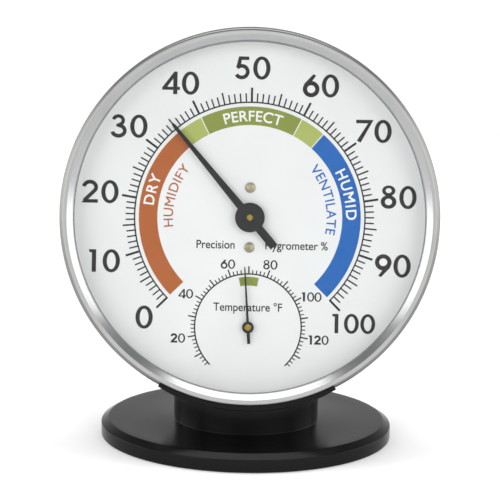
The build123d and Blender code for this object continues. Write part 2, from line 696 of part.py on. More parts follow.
# Stud that the sector turns on, with a shoulder behind it.
with BuildPart() as sector_stud:
    turn_profile(
        (0, FRAME_BACK),
        (STUD_SPIGOT_RADIUS, FRAME_BACK),
        (STUD_SPIGOT_RADIUS, FRAME_FRONT),
        (STUD_RADIUS + STUD_SHOULDER, FRAME_FRONT),
        (STUD_RADIUS + STUD_SHOULDER, SECTOR_BACK - STUD_PLAY),
        (STUD_RADIUS, SECTOR_BACK - STUD_PLAY),
        (STUD_RADIUS, CLIP_BACK),
        (STUD_RADIUS - STUD_GROOVE, CLIP_BACK),
        (STUD_RADIUS - STUD_GROOVE, CLIP_FRONT),
        (STUD_RADIUS, CLIP_FRONT),
        (STUD_RADIUS, CLIP_FRONT + STUD_END),
        (0, CLIP_FRONT + STUD_END),
        x=SECTOR_X,
    )
sector_stud.part.label = "sector_stud"
export_step(sector_stud.part, "parts/sector_stud.step")

# Spring clip in the groove of the stud.
with BuildPart() as sector_clip:
    with BuildSketch(at(CLIP_BACK, x=SECTOR_X)):
        Circle(STUD_RADIUS - STUD_GROOVE + CLIP_WIDTH)
        Circle(STUD_RADIUS - STUD_GROOVE, mode=Mode.SUBTRACT)
        with Locations((0, -2 * STUD_RADIUS)):
            Rectangle(CLIP_GAP, 3 * STUD_RADIUS, mode=Mode.SUBTRACT)
    extrude(amount=CLIP_FRONT - CLIP_BACK)
sector_clip.part.label = "sector_clip"
export_step(sector_clip.part, "parts/sector_clip.step")

# Flat hairspring that takes up the play between the teeth.
with BuildPart() as hairspring:
    with BuildSketch(at(SPRING_BACK)):
        with BuildLine():
            spiral_outline(
                COLLET_RADIUS + BEARING_PLAY,
                PILLAR_Y - PILLAR_RADIUS - BEARING_PLAY,
                turns=5,
                strip=SPRING_STRIP,
                end_angle=90,
            )
        make_face()
    extrude(amount=SPRING_FRONT - SPRING_BACK)
hairspring.part.label = "hairspring"
export_step(hairspring.part, "parts/hairspring.step")

# Bundle of synthetic hair from the calibration post up to the sector's short arm.
with BuildPart() as hair_bundle:
    with BuildSketch(plane_up(HAIR_X, POST_Y, HAIR_Z)):
        Circle(HAIR_RADIUS)
    extrude(amount=HAIR_TOP - POST_Y)
hair_bundle.part.label = "hair_bundle"
export_step(hair_bundle.part, "parts/hair_bundle.step")

# Brass crimp round the upper end of the hair.
with BuildPart() as hair_crimp:
    with BuildSketch(plane_up(HAIR_X, HAIR_TOP - CRIMP_LENGTH, HAIR_Z)):
        Circle(CRIMP_RADIUS)
        Circle(HAIR_RADIUS, mode=Mode.SUBTRACT)
    extrude(amount=CRIMP_LENGTH)
hair_crimp.part.label = "hair_crimp"
export_step(hair_crimp.part, "parts/hair_crimp.step")

# Slotted post that winds the hair in or out: turned from behind to calibrate the dial.
with BuildPart() as calibration_post:
    turn_profile(
        (0, POST_HEAD_BACK),
        (POST_HEAD_RADIUS, POST_HEAD_BACK),
        (POST_HEAD_RADIUS, POST_HEAD_FRONT),
        (POST_RADIUS, POST_HEAD_FRONT),
        (POST_RADIUS, FRAME_FRONT + PIVOT_SHOULDER),
        (POST_COLLAR_RADIUS, FRAME_FRONT + PIVOT_SHOULDER),
        (POST_COLLAR_RADIUS, POST_COLLAR_FRONT),
        (POST_RADIUS, POST_COLLAR_FRONT),
        (POST_RADIUS, POST_FRONT),
        (0, POST_FRONT),
        x=POST_X,
        y=POST_Y,
    )
    with BuildSketch(at(POST_HEAD_BACK, x=POST_X, y=POST_Y)):
        Rectangle(3 * POST_HEAD_RADIUS, POST_SLOT_WIDTH)
    extrude(amount=POST_SLOT_DEPTH, mode=Mode.SUBTRACT)
calibration_post.part.label = "calibration_post"
export_step(calibration_post.part, "parts/calibration_post.step")

# Friction washer behind the frame that keeps the post where it is set.
with BuildPart() as friction_washer:
    with BuildSketch(at(FRAME_BACK - WASHER_THICK, x=POST_X, y=POST_Y)):
        Circle(WASHER_RADIUS)
        Circle(POST_RADIUS + BEARING_PLAY, mode=Mode.SUBTRACT)
    extrude(amount=WASHER_THICK)
friction_washer.part.label = "friction_washer"
export_step(friction_washer.part, "parts/friction_washer.step")

# Black pointer of the big dial: tapered arm, round hub and square-ended tail.
with BuildPart() as humidity_pointer:
    with BuildSketch(at(HUMIDITY_BACK, turn=HUMIDITY_REST)):
        Polygon(
            (-HUMIDITY_TAIL_HALF, -HUMIDITY_TAIL),
            (HUMIDITY_TAIL_HALF, -HUMIDITY_TAIL),
            (HUMIDITY_ARM_HALF, HUMIDITY_ARM_Y),
            (HUMIDITY_TAPER_HALF, HUMIDITY_TAPER_Y),
            (0, HUMIDITY_TIP),
            (-HUMIDITY_TAPER_HALF, HUMIDITY_TAPER_Y),
            (-HUMIDITY_ARM_HALF, HUMIDITY_ARM_Y),
            align=None,
        )
        Circle(HUMIDITY_HUB_RADIUS)
    extrude(amount=HUMIDITY_FRONT - HUMIDITY_BACK)
    with BuildSketch(at(HUMIDITY_BACK)):
        Circle(HUMIDITY_COLLAR_RADIUS)
    extrude(amount=-HUMIDITY_COLLAR_LENGTH)
    bore(ARBOR_RADIUS, HUMIDITY_BACK - HUMIDITY_COLLAR_LENGTH - CUT, HUMIDITY_FRONT + CUT)
humidity_pointer.part.label = "humidity_pointer"
export_step(humidity_pointer.part, "parts/humidity_pointer.step")

# ======================================================================================
# Thermometer movement
# ======================================================================================
# Channel bracket behind the dial.
with BuildPart() as thermometer_bracket:
    with BuildSketch(at(BRACKET_FLOOR - BRACKET_THICK, y=THERMO_Y)):
        Rectangle(2 * BRACKET_HALF_WIDTH, 2 * BRACKET_HALF_HEIGHT)
    extrude(amount=DIAL_BACK - BRACKET_FLOOR + BRACKET_THICK)
    with BuildSketch(at(BRACKET_FLOOR, y=THERMO_Y)):
        Rectangle(2 * (BRACKET_HALF_WIDTH - BRACKET_THICK), 3 * BRACKET_HALF_HEIGHT)
    extrude(amount=DIAL_BACK - BRACKET_THICK - BRACKET_FLOOR, mode=Mode.SUBTRACT)
    bore(THERMO_BUSH_RADIUS, BRACKET_FLOOR, DIAL_BACK + CUT, y=THERMO_Y)
    bore(PIVOT_RADIUS + BEARING_PLAY, BRACKET_FLOOR - BRACKET_THICK - CUT, BRACKET_FLOOR + CUT, y=THERMO_Y)
thermometer_bracket.part.label = "thermometer_bracket"
export_step(thermometer_bracket.part, "parts/thermometer_bracket.step")

# Flanged bush that clamps the bracket to the dial and guides the arbor.
with BuildPart() as thermometer_bush:
    turn_profile(
        (THERMO_ARBOR_RADIUS + BEARING_PLAY, BUSH_BACK),
        (THERMO_BUSH_RADIUS, BUSH_BACK),
        (THERMO_BUSH_RADIUS, DIAL_FRONT),
        (THERMO_BUSH_RADIUS + THERMO_BUSH_FLANGE, DIAL_FRONT),
        (THERMO_BUSH_RADIUS + THERMO_BUSH_FLANGE, THERMO_BUSH_FRONT),
        (THERMO_ARBOR_RADIUS + BEARING_PLAY, THERMO_BUSH_FRONT),
        y=THERMO_Y,
    )
thermometer_bush.part.label = "thermometer_bush"
export_step(thermometer_bush.part, "parts/thermometer_bush.step")

# Arbor of the small pointer, with the collar that the coil grips.
with BuildPart() as thermometer_arbor:
    turn_profile(
        (0, BRACKET_FLOOR - BRACKET_THICK - PIVOT_PROUD),
        (PIVOT_RADIUS, BRACKET_FLOOR - BRACKET_THICK - PIVOT_PROUD),
        (PIVOT_RADIUS, BRACKET_FLOOR + PIVOT_SHOULDER),
        (THERMO_ARBOR_RADIUS, BRACKET_FLOOR + PIVOT_SHOULDER),
        (THERMO_ARBOR_RADIUS, COIL_BACK - COIL_COLLAR_EXTRA),
        (THERMO_COLLAR_RADIUS, COIL_BACK - COIL_COLLAR_EXTRA),
        (THERMO_COLLAR_RADIUS, COIL_FRONT + COIL_COLLAR_EXTRA),
        (THERMO_ARBOR_RADIUS, COIL_FRONT + COIL_COLLAR_EXTRA),
        (THERMO_ARBOR_RADIUS, TEMPERATURE_FRONT),
        (THERMO_CAP_RADIUS, TEMPERATURE_FRONT),
        (THERMO_CAP_RADIUS, TEMPERATURE_FRONT + CAP_HEIGHT - CAP_CHAMFER),
        (THERMO_CAP_RADIUS - CAP_CHAMFER, TEMPERATURE_FRONT + CAP_HEIGHT),
        (0, TEMPERATURE_FRONT + CAP_HEIGHT),
        y=THERMO_Y,
    )
thermometer_arbor.part.label = "thermometer_arbor"
export_step(thermometer_arbor.part, "parts/thermometer_arbor.step")

# Two-metal coil: it grips the arbor inside and the bracket outside.
with BuildPart() as bimetal_coil:
    with BuildSketch(at(COIL_BACK, y=THERMO_Y)):
        with BuildLine():
            spiral_outline(
                THERMO_COLLAR_RADIUS + BEARING_PLAY,
                BRACKET_HALF_WIDTH - BRACKET_THICK - BEARING_PLAY,
                turns=6,
                strip=COIL_STRIP,
                end_angle=0,
            )
        make_face()
    extrude(amount=COIL_FRONT - COIL_BACK)
bimetal_coil.part.label = "bimetal_coil"
export_step(bimetal_coil.part, "parts/bimetal_coil.step")

# Fine black pointer of the small dial.
with BuildPart() as thermometer_pointer:
    with BuildSketch(at(TEMPERATURE_BACK, y=THERMO_Y, turn=TEMPERATURE_REST)):
        Polygon(
            (-TEMPERATURE_TAIL_HALF, -TEMPERATURE_TAIL),
            (TEMPERATURE_TAIL_HALF, -TEMPERATURE_TAIL),
            (TEMPERATURE_ARM_HALF, TEMPERATURE_ARM_Y),
            (TEMPERATURE_TAPER_HALF, TEMPERATURE_TAPER_Y),
            (0, TEMPERATURE_TIP),
            (-TEMPERATURE_TAPER_HALF, TEMPERATURE_TAPER_Y),
            (-TEMPERATURE_ARM_HALF, TEMPERATURE_ARM_Y),
            align=None,
        )
        Circle(TEMPERATURE_HUB_RADIUS)
    extrude(amount=TEMPERATURE_FRONT - TEMPERATURE_BACK)
    with BuildSketch(at(TEMPERATURE_BACK, y=THERMO_Y)):
        Circle(TEMPERATURE_COLLAR_RADIUS)
    extrude(amount=-TEMPERATURE_COLLAR_LENGTH)
    bore(
        THERMO_ARBOR_RADIUS,
        TEMPERATURE_BACK - TEMPERATURE_COLLAR_LENGTH - CUT,
        TEMPERATURE_FRONT + CUT,
        y=THERMO_Y,
    )
thermometer_pointer.part.label = "thermometer_pointer"
export_step(thermometer_pointer.part, "parts/thermometer_pointer.step")
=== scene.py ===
"""Looks of the dial hygrometer: printed dial, satin bezel, clear window and black stand.

Lengths are millimetres in the dial's own frame (x right, y up the dial, z out of the dial,
0 at the crest of the bezel) or, for the foot and neck, in the row's frame. Angles are degrees.
"""

import json
import math

import bmesh
import bpy
from mathutils import Matrix, Vector


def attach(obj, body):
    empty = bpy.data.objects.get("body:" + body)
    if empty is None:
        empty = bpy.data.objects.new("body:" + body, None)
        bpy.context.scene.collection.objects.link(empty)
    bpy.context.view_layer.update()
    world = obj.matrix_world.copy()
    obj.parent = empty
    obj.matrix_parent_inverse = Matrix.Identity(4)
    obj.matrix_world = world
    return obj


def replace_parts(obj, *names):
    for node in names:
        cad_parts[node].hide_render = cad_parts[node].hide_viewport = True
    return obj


MM = 0.001

# ---- stand ----
BASE_HALF_WIDTH = 52.2
BASE_HALF_DEPTH = 42.0
BASE_TOP = 6.4
CHAMFER_WIDTH = 2.65
CHAMFER_HEIGHT = 1.66
RIM_BOTTOM = 0.15
RIM_WALL = 2.4
FOOT_RUN_IN = 4.0             # flat part of the foot's top that the outline of its edge takes in
POCKET_TOP = 4.3
NECK_HALF_WIDTH = 26.0
NECK_HALF_DEPTH = 21.0
NECK_FILLET = 0.25
NECK_SINK = 0.3               # the neck runs this far into the cradle's wall
CRADLE_HALF_ANGLE = 27.6
CRADLE_OUTER = 66.5
CRADLE_TAPER = 0.45           # the wall thins by this much over the last few degrees of each end
CRADLE_TAPER_ANGLE = 5.0
CRADLE_RING_SEAT = 65.6
CRADLE_CASE_SEAT = 63.0
CRADLE_LIP_INNER = 64.7
CRADLE_FRONT = 0.3
CRADLE_LIP_BACK = -0.1
CRADLE_STEP = -13.6
CRADLE_HOLLOW = ((65.35, -0.75), (CRADLE_RING_SEAT, -1.8))    # (radius, z) behind the lip
CRADLE_BACK = -38.0
BACKSTOP_FRONT = -35.2
BACKSTOP_INNER = 50.0
BACKSTOP_HALF_ANGLE = 19.0
BACKSTOP_ROOT = CRADLE_CASE_SEAT + 0.5

# ---- case ----
RING_OUTER = 65.5
RING_BACK = -13.5
RING_SKIRT_INNER = 62.9
CREST_INNER = 62.9
CREST_OUTER = 64.1
BEVEL = (
    (CREST_OUTER, 0), (64.55, -0.16), (64.92, -0.46), (65.18, -0.82), (65.38, -1.25), (RING_OUTER, -1.85),
)
OPENING_RADIUS = 60.75
OPENING_FRONT = -2.05
OPENING_CHAMFER = 0.35
FACET_BACK = -2.5             # the polish of the funnel ends here
DIAL_FRONT = -9.0
DIAL_BACK = -9.8
DIAL_RADIUS = 62.6
CASE_OUTER = 62.8
CASE_WALL = 2.2
CASE_BACK = -35.0
CASE_EDGE_ROUND = 4.0
SHELF_Z = -3.0
GASKET_BACK = -3.5
WINDOW_BACK = -5.1
GRUB_Z = -11.7
GRUB_HOLE = 1.03
GRUB_ANGLES = (30, 150, 270)
BUSH_HOLE = 1.6
THERMO_BUSH_HOLE = 1.3
SCREW_HOLE = 1.0
SCREW_Y = 10.4
VENT_RADII = (26.0, 32.0, 38.0)
VENT_WIDTH = 2.4
VENT_HALF_ANGLE = 28.0
HANGER_Y = 44.0
HANGER_HOLE_RADIUS = 4.5
HANGER_SLOT_WIDTH = 4.4
HANGER_SLOT_RISE = 7.0
POST_X = 33.45
POST_Y = -42.0
ACCESS_RADIUS = 3.4

# ---- pointers ----
HUMIDITY_REST = 40.5         # degrees left of straight up
HUMIDITY_BACK = -7.1
HUMIDITY_FRONT = -6.7
HUMIDITY_HUB = 5.15
HUMIDITY_ARM = ((5.0, 1.35), (41.3, 0.58), (43.0, 0.06))      # (y, half width)
HUMIDITY_TAIL = (13.15, 1.45)                                 # (length, half width)
HUMIDITY_COLLAR = (1.9, 1.2, 0.75)                            # (radius, length, bore)
TEMPERATURE_REST = 4.0
TEMPERATURE_BACK = -7.6
TEMPERATURE_FRONT = -7.3
TEMPERATURE_HUB = 2.05
TEMPERATURE_ARM = ((2.0, 0.45), (20.6, 0.22), (21.2, 0.08))
TEMPERATURE_TAIL = (5.75, 0.55)
TEMPERATURE_COLLAR = (1.2, 0.9, 0.65)
POINTER_EDGE = 0.07

# ---- printed scales ----
INK_THICK = 0.02
LAYER_STEP = 0.0008          # crossing layers of ink differ this much in height
PRINT = 1.0138               # scale of every printed length below but the numbers
NUMBER_PRINT = 1.004
SCALE_SPAN = 135.0           # the humidity scale runs this far either side of straight up
SCALE_RADIUS = 39.5
SCALE_LINE = 0.50
SCALE_OVERRUN = 0.4          # the arc runs this many degrees past its last marks
TICK_ENDS = {1: 42.6, 5: 43.7, 10: 44.5}
TICK_WIDTHS = {1: 0.50, 5: 0.55, 10: 0.76}
ZONE_INNER = 31.7
ZONE_OUTER = 38.05
ZONE_GAP = 0.35              # white line between neighbouring zones
NUMERAL_CAP = 7.8
NUMERAL_CAP_100 = 6.708      # the number 100 is printed smaller
THERMO_RADIUS = 18.3
THERMO_SPAN = 135.5
THERMO_DEGREES_PER_F = 2.0
THERMO_TOP_F = 70
THERMO_MARKS_F = range(4, 137, 2)
THERMO_CAP = 3.0
THERMO_CAP_WEIGHT = 0.030    # share of the cap height that thickens each side of a stroke
THERMO_TICK_WIDE = 0.48
THERMO_TICK_THIN = 0.38
THERMO_TICK_LONG = 20.9
THERMO_TICK_SHORT = 19.7
THERMO_PATCH_INNER = 14.3
THERMO_PATCH_OUTER = 17.3
THERMO_PATCH_SPAN = 11.5
ZONE_WORD_CAP = 3.5
HINT_WORD_CAP = 3.2
DIAL_WORD_CAP = 2.75
DIAL_WORD_WIDTH = 0.905      # words along a straight line are narrowed to this share
DIAL_WORD_WEIGHT = 0.04
WORD_THICK = 1.3 * INK_THICK

SEGMENTS = 256               # facets round a full turn


# ==== Frame ====
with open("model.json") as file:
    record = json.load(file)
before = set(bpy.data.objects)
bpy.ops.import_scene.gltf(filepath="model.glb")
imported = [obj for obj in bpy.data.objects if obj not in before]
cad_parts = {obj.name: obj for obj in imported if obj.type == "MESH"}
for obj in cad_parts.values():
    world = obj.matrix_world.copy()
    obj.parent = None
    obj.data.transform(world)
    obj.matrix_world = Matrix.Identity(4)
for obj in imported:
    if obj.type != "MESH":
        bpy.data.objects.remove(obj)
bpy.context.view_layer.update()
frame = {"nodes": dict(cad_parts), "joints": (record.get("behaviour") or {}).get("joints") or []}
joints = {joint["name"]: joint for joint in frame["joints"]}
dial_centre = Vector(joints["humidity_reading"]["pos_m"])
dial_out = -Vector(joints["humidity_reading"]["axis"]).normalized()
dial_right = Vector((1, 0, 0))
dial_up = dial_out.cross(dial_right)
thermo_offset = Vector(joints["temperature_reading"]["pos_m"]) - dial_centre
THERMO_Y = thermo_offset.dot(dial_up) / MM
dial_turn = Matrix((dial_right, dial_up, dial_out)).transposed().to_4x4()
dial_matrix = Matrix.Translation(dial_centre) @ dial_turn


# ==== Outlines ====
def arc(centre, radii, start, stop, steps=24):
    """Points along an ellipse between two angles in degrees, both ends included."""
    points = []
    for step in range(steps + 1):
        angle = math.radians(start + (stop - start) * step / steps)
        points.append((centre[0] + radii[0] * math.cos(angle), centre[1] + radii[1] * math.sin(angle)))
    return points


def ellipse(centre, radii, steps=48):
    return arc(centre, radii, 0, 360, steps)[:-1]


def circle(centre, radius, steps=48):
    return ellipse(centre, (radius, radius), steps)


def polar(radius, clock):
    """Point at a clock angle: degrees clockwise from straight up."""
    angle = math.radians(clock)
    return (radius * math.sin(angle), radius * math.cos(angle))


def ring_sector(inner, outer, start, stop):
    """Closed outline between two radii and two clock angles."""
    steps = max(2, round(abs(stop - start) / 1.5))
    clocks = [start + (stop - start) * step / steps for step in range(steps + 1)]
    return [polar(outer, clock) for clock in clocks] + [polar(inner, clock) for clock in reversed(clocks)]


def tick(inner, outer, width, clock):
    """Closed outline of one radial scale mark of even width."""
    along = polar(1, clock)
    across = (along[1] * width / 2, -along[0] * width / 2)
    ends = ((inner, 1), (outer, 1), (outer, -1), (inner, -1))
    return [(along[0] * r + across[0] * side, along[1] * r + across[1] * side) for r, side in ends]


def stroke(path, width):
    """Closed outline of a pen stroke of even width along an open path."""
    left = []
    right = []
    for index, point in enumerate(path):
        before = Vector(path[max(index - 1, 0)])
        after = Vector(path[min(index + 1, len(path) - 1)])
        along = (after - before).normalized()
        across = Vector((-along.y, along.x)) * width / 2
        left.append(tuple(Vector(point) + across))
        right.append(tuple(Vector(point) - across))
    return left + right[::-1]


def turned_half_round(loops, centre):
    """The same outlines turned by 180 degrees about a point."""
    return [[(2 * centre[0] - x, 2 * centre[1] - y) for x, y in loop] for loop in loops]


def grown(loop, amount):
    """Closed outline moved outwards by a small amount, or inwards if the amount is negative."""
    area = sum(a[0] * b[1] - b[0] * a[1] for a, b in zip(loop, loop[1:] + loop[:1]))
    side = math.copysign(amount, area)
    moved = []
    for index, point in enumerate(loop):
        before = (Vector(point) - Vector(loop[index - 1])).normalized()
        after = (Vector(loop[(index + 1) % len(loop)]) - Vector(point)).normalized()
        across = Vector((before.y + after.y, -before.x - after.x))
        reach = side / max(0.35, across.length / 2)
        moved.append(tuple(Vector(point) + across.normalized() * reach))
    return moved


def rounded(corners, steps=5):
    """Closed outline from (x, y, fillet radius) corners."""
    points = []
    count = len(corners)
    for index, (x, y, radius) in enumerate(corners):
        corner = Vector((x, y))
        if radius <= 0:
            points.append(corner)
            continue
        to_last = (Vector(corners[index - 1][:2]) - corner).normalized()
        to_next = (Vector(corners[(index + 1) % count][:2]) - corner).normalized()
        half = to_last.angle(to_next) / 2
        reach = radius / math.tan(half)
        middle = corner + (to_last + to_next).normalized() * radius / math.sin(half)
        first = corner + to_last * reach - middle
        last = corner + to_next * reach - middle
        for step in range(steps + 1):
            direction = first.lerp(last, step / steps).normalized()
            points.append(middle + direction * radius)
    return [tuple(point) for point in points]


# ==== Numerals: unit cap height, a list of layers per glyph, each layer a list of closed loops ====
PEN = 0.17


def six_layers():
    bowl = [ellipse((0.375, 0.345), (0.370, 0.360)), ellipse((0.375, 0.340), (0.178, 0.172))]
    stem = [(0.470, 1.010), (0.585, 0.940), (0.385, 0.665), (0.120, 0.450), (0.026, 0.440), (0.075, 0.590)]
    return [bowl, [stem]]


def digit(char):
    """Width, layers and the gap that follows a digit."""
    if char == "0":
        return 0.77, [[ellipse((0.385, 0.5), (0.385, 0.515)), ellipse((0.385, 0.5), (0.197, 0.372))]], 0.075
    if char == "1":
        return 0.33, [[[(0.14, 0), (0.33, 0), (0.33, 1), (0, 1), (0.035, 0.865), (0.14, 0.865)]]], 0.29
    if char == "2":
        hook = arc((0.36, 0.69), (0.27, 0.24), 172, -28) + [(0.10, 0.09)]
        foot = [(-0.02, 0), (0.72, 0), (0.72, 0.155), (0.11, 0.155)]
        return 0.72, [[stroke(hook, PEN)], [foot]], 0.14
    if char == "3":
        upper = arc((0.315, 0.745), (0.215, 0.195), 168, -90)
        lower = arc((0.325, 0.290), (0.280, 0.230), 90, -168)
        bridge = [(0.225, 0.465), (0.36, 0.465), (0.36, 0.600), (0.225, 0.600)]
        return 0.69, [[stroke(upper, PEN - 0.015)], [stroke(lower, PEN)], [bridge]], 0.15
    if char == "4":
        outside = [
            (0, 0.19), (0.49, 0.19), (0.49, 0), (0.675, 0), (0.675, 0.19), (0.79, 0.19),
            (0.79, 0.325), (0.675, 0.325), (0.675, 1), (0.53, 1), (0, 0.29),
        ]
        counter = [(0.225, 0.325), (0.49, 0.325), (0.49, 0.69)]
        return 0.79, [[outside, counter]], 0.08
    if char == "5":
        flag = [(0.227, 1), (0.68, 1), (0.68, 0.845), (0.355, 0.845), (0.290, 0.530), (0.115, 0.530)]
        bowl = arc((0.355, 0.325), (0.268, 0.258), 140, -150)
        return 0.71, [[flag], [stroke(bowl, PEN)]], 0.15
    if char == "6":
        return 0.745, six_layers(), 0.10
    if char == "7":
        return 0.77, [[[(0, 1), (0.77, 1), (0.215, -0.01), (0.04, 0.07), (0.53, 0.845), (0, 0.845)]]], 0.045
    if char == "8":
        upper = [ellipse((0.355, 0.785), (0.295, 0.235)), ellipse((0.355, 0.790), (0.135, 0.108))]
        lower = [ellipse((0.355, 0.290), (0.350, 0.305)), ellipse((0.355, 0.290), (0.160, 0.145))]
        return 0.705, [upper, lower], 0.125
    layers = [turned_half_round(layer, (0.375, 0.5)) for layer in six_layers()]
    return 0.745, layers, 0.085


def number_layers(text, cap, centre, heavier=0.0):
    """Layers of a whole number of the given cap height, centred on a point of the dial."""
    places = []
    x = 0
    for char in text:
        width, layers, gap = digit(char)
        places.append((x, layers))
        x += width + gap
    total = x - gap
    made = []
    bottom = centre[1] - cap / 2
    for left, layers in places:
        shift = centre[0] + (left - total / 2) * cap
        for layer in layers:
            outer = grown(layer[0], heavier)
            bold = [outer] + [grown(counter, -heavier) for counter in layer[1:]]
            made.append([[(shift + px * cap, bottom + py * cap) for px, py in loop] for loop in bold])
    return made


def add_object(name, mesh, material, body, matrix, crease=30):
    """Links a mesh with its material and shading (flat if crease is 0) and lets it ride on a body."""
    obj = bpy.data.objects.new(name, mesh)
    bpy.context.scene.collection.objects.link(obj)
    obj.matrix_world = matrix
    mesh.materials.append(material)
    if crease:
        mesh.shade_smooth()
        mesh.set_sharp_from_angle(angle=math.radians(crease))
    else:
        mesh.shade_flat()
    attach(obj, body)
    return obj


def written(work, mesh):
    work.to_mesh(mesh)
    work.free()
    return mesh


def mesh_of(curve):
    """Filled mesh of a curve, which is used up."""
    holder = bpy.data.objects.new(curve.name, curve)
    mesh = bpy.data.meshes.new_from_object(holder)
    bpy.data.objects.remove(holder)
    bpy.data.curves.remove(curve)
    return mesh


def thicken(work, height):
    """Gives flat faces a thickness towards the front of the dial, in millimetres."""
    made = bmesh.ops.extrude_face_region(work, geom=work.faces[:])
    lifted = [item for item in made["geom"] if isinstance(item, bmesh.types.BMVert)]
    bmesh.ops.translate(work, verts=lifted, vec=(0, 0, height * MM))
    bmesh.ops.recalc_face_normals(work, faces=work.faces)


def mesh_from(name, verts, faces):
    """Mesh in metres from millimetre corners, with its normals facing outwards."""
    mesh = bpy.data.meshes.new(name)
    mesh.from_pydata([(x * MM, y * MM, z * MM) for x, y, z in verts], [], faces)
    work = bmesh.new()
    work.from_mesh(mesh)
    bmesh.ops.remove_doubles(work, verts=work.verts, dist=1e-8)
    bmesh.ops.recalc_face_normals(work, faces=work.faces)
    return written(work, mesh)


def lathe_mesh(name, profile, middle=0, half_angle=180):
    """Closed (radius, z) profile turned about z, all the way round or as a capped segment."""
    whole = half_angle >= 180
    steps = max(8, round(SEGMENTS * half_angle / 180))
    columns = steps if whole else steps + 1
    verts = []
    for column in range(columns):
        angle = math.radians(middle - half_angle + 2 * half_angle * column / steps)
        for radius, z in profile:
            verts.append((radius * math.cos(angle), radius * math.sin(angle), z))
    count = len(profile)
    faces = []
    for column in range(steps):
        here = column * count
        there = (column + 1) % columns * count
        for index in range(count):
            following = (index + 1) % count
            faces.append((here + index, here + following, there + following, there + index))
    if not whole:
        faces.append(tuple(range(count)))
        faces.append(tuple(range(steps * count, (steps + 1) * count)))
    return mesh_from(name, verts, faces)


def bevel_edges(work, edges, width):
    bmesh.ops.bevel(
        work, geom=edges, offset=width * MM, segments=2, profile=0.5, affect="EDGES", clamp_overlap=True
    )


def plate_mesh(name, outline, back, front, edge):
    """Flat plate with a given outline and softened edges, between two depths."""
    work = bmesh.new()
    ring = [work.verts.new((x * MM, y * MM, back * MM)) for x, y in outline]
    work.faces.new(ring)
    thicken(work, front - back)
    rims = [rim for rim in work.edges if abs(rim.verts[0].co.z - rim.verts[1].co.z) < 1e-9]
    bevel_edges(work, rims, edge)
    return written(work, bpy.data.meshes.new(name))


def film_mesh(name, layers, z, thick, step=0.0):
    """Flat sheets: every layer is a list of closed loops, filled where they don't nest."""
    work = bmesh.new()
    for index, layer in enumerate(layers):
        curve = bpy.data.curves.new(name, "CURVE")
        curve.dimensions = "2D"
        curve.fill_mode = "BOTH"
        curve.extrude = thick / 2 * MM
        for loop in layer:
            spline = curve.splines.new("POLY")
            spline.points.add(len(loop) - 1)
            for point, (x, y) in zip(spline.points, loop):
                point.co = (x * MM, y * MM, 0, 1)
            spline.use_cyclic_u = True
        part = mesh_of(curve)
        lift = (z + thick / 2 + step * (index % 4)) * MM
        part.transform(Matrix.Translation((0, 0, lift)))
        work.from_mesh(part)
        bpy.data.meshes.remove(part)
    bmesh.ops.remove_doubles(work, verts=work.verts, dist=1e-9)
    return written(work, bpy.data.meshes.new(name))


def flat_text(name, text, spacing):
    """Filled letters of Blender's own font, one unit tall."""
    curve = bpy.data.curves.new(name, "FONT")
    curve.body = text
    curve.align_x = "CENTER"
    curve.space_character = spacing
    return mesh_of(curve)


def word_mesh(name, text, cap, place, weight, spacing=1.0, z=DIAL_FRONT):
    """Printed words of the given cap height; place maps flat x, y to a point of the dial.

    The letters are four copies, each moved by weight towards one corner, which thickens them.
    """
    capital = flat_text(name, "H", 1.0)
    scale = cap / max(vert.co.y for vert in capital.vertices)
    letters = flat_text(name, text, spacing)
    corners = ((-1, -1), (1, -1), (1, 1), (-1, 1))
    work = bmesh.new()
    for level, (right, up) in enumerate(corners):
        first = len(work.verts)
        work.from_mesh(letters)
        work.verts.ensure_lookup_table()
        for vert in work.verts[first:]:
            x, y = place(vert.co.x * scale + right * weight, vert.co.y * scale + up * weight)
            vert.co = (x * MM, y * MM, (z + level * LAYER_STEP) * MM)
    bpy.data.meshes.remove(capital)
    bpy.data.meshes.remove(letters)
    thicken(work, WORD_THICK)
    return written(work, bpy.data.meshes.new(name))


def on_clock_arc(radius, clock, cap):
    """Bends flat words along an arc, with the letters' tops outwards."""
    def place(x, y):
        return polar(radius + y - cap / 2, clock + math.degrees(x / radius))
    return place


def at_point(centre, cap, width):
    """Places flat words about a point, with the letters narrowed or widened."""
    def place(x, y):
        return (centre[0] + x * width, centre[1] + y - cap / 2)
    return place


def tidy_edges(mesh, width, angle):
    """Rounds every edge sharper than the given angle by a small width."""
    work = bmesh.new()
    work.from_mesh(mesh)
    limit = math.radians(angle)
    sharp = [edge for edge in work.edges if edge.is_manifold and edge.calc_face_angle(0) > limit]
    bevel_edges(work, sharp, width)
    return written(work, mesh)


def combined(mesh, others, operation, matrix=None):
    """Exact boolean of a mesh with a list of closed meshes that share its coordinates."""
    base = bpy.data.objects.new("base", mesh)
    bpy.context.scene.collection.objects.link(base)
    helpers = []
    for other in others:
        helper = bpy.data.objects.new("helper", other)
        bpy.context.scene.collection.objects.link(helper)
        if matrix:
            helper.matrix_world = matrix
        modifier = base.modifiers.new("join", "BOOLEAN")
        modifier.operation = operation
        modifier.solver = "EXACT"
        modifier.object = helper
        helpers.append(helper)
    bpy.context.view_layer.update()
    result = bpy.data.meshes.new_from_object(base.evaluated_get(bpy.context.evaluated_depsgraph_get()))
    for extra in helpers + [base]:
        bpy.data.objects.remove(extra)
    return result


def bar_mesh(outline, back, front):
    """Plain closed prism along the dial direction, used as a cutter."""
    steps = len(outline)
    verts = [(px, py, back) for px, py in outline] + [(px, py, front) for px, py in outline]
    sides = [(i, (i + 1) % steps, (i + 1) % steps + steps, i + steps) for i in range(steps)]
    return mesh_from("bar", verts, sides + [tuple(range(steps)), tuple(range(steps, 2 * steps))])


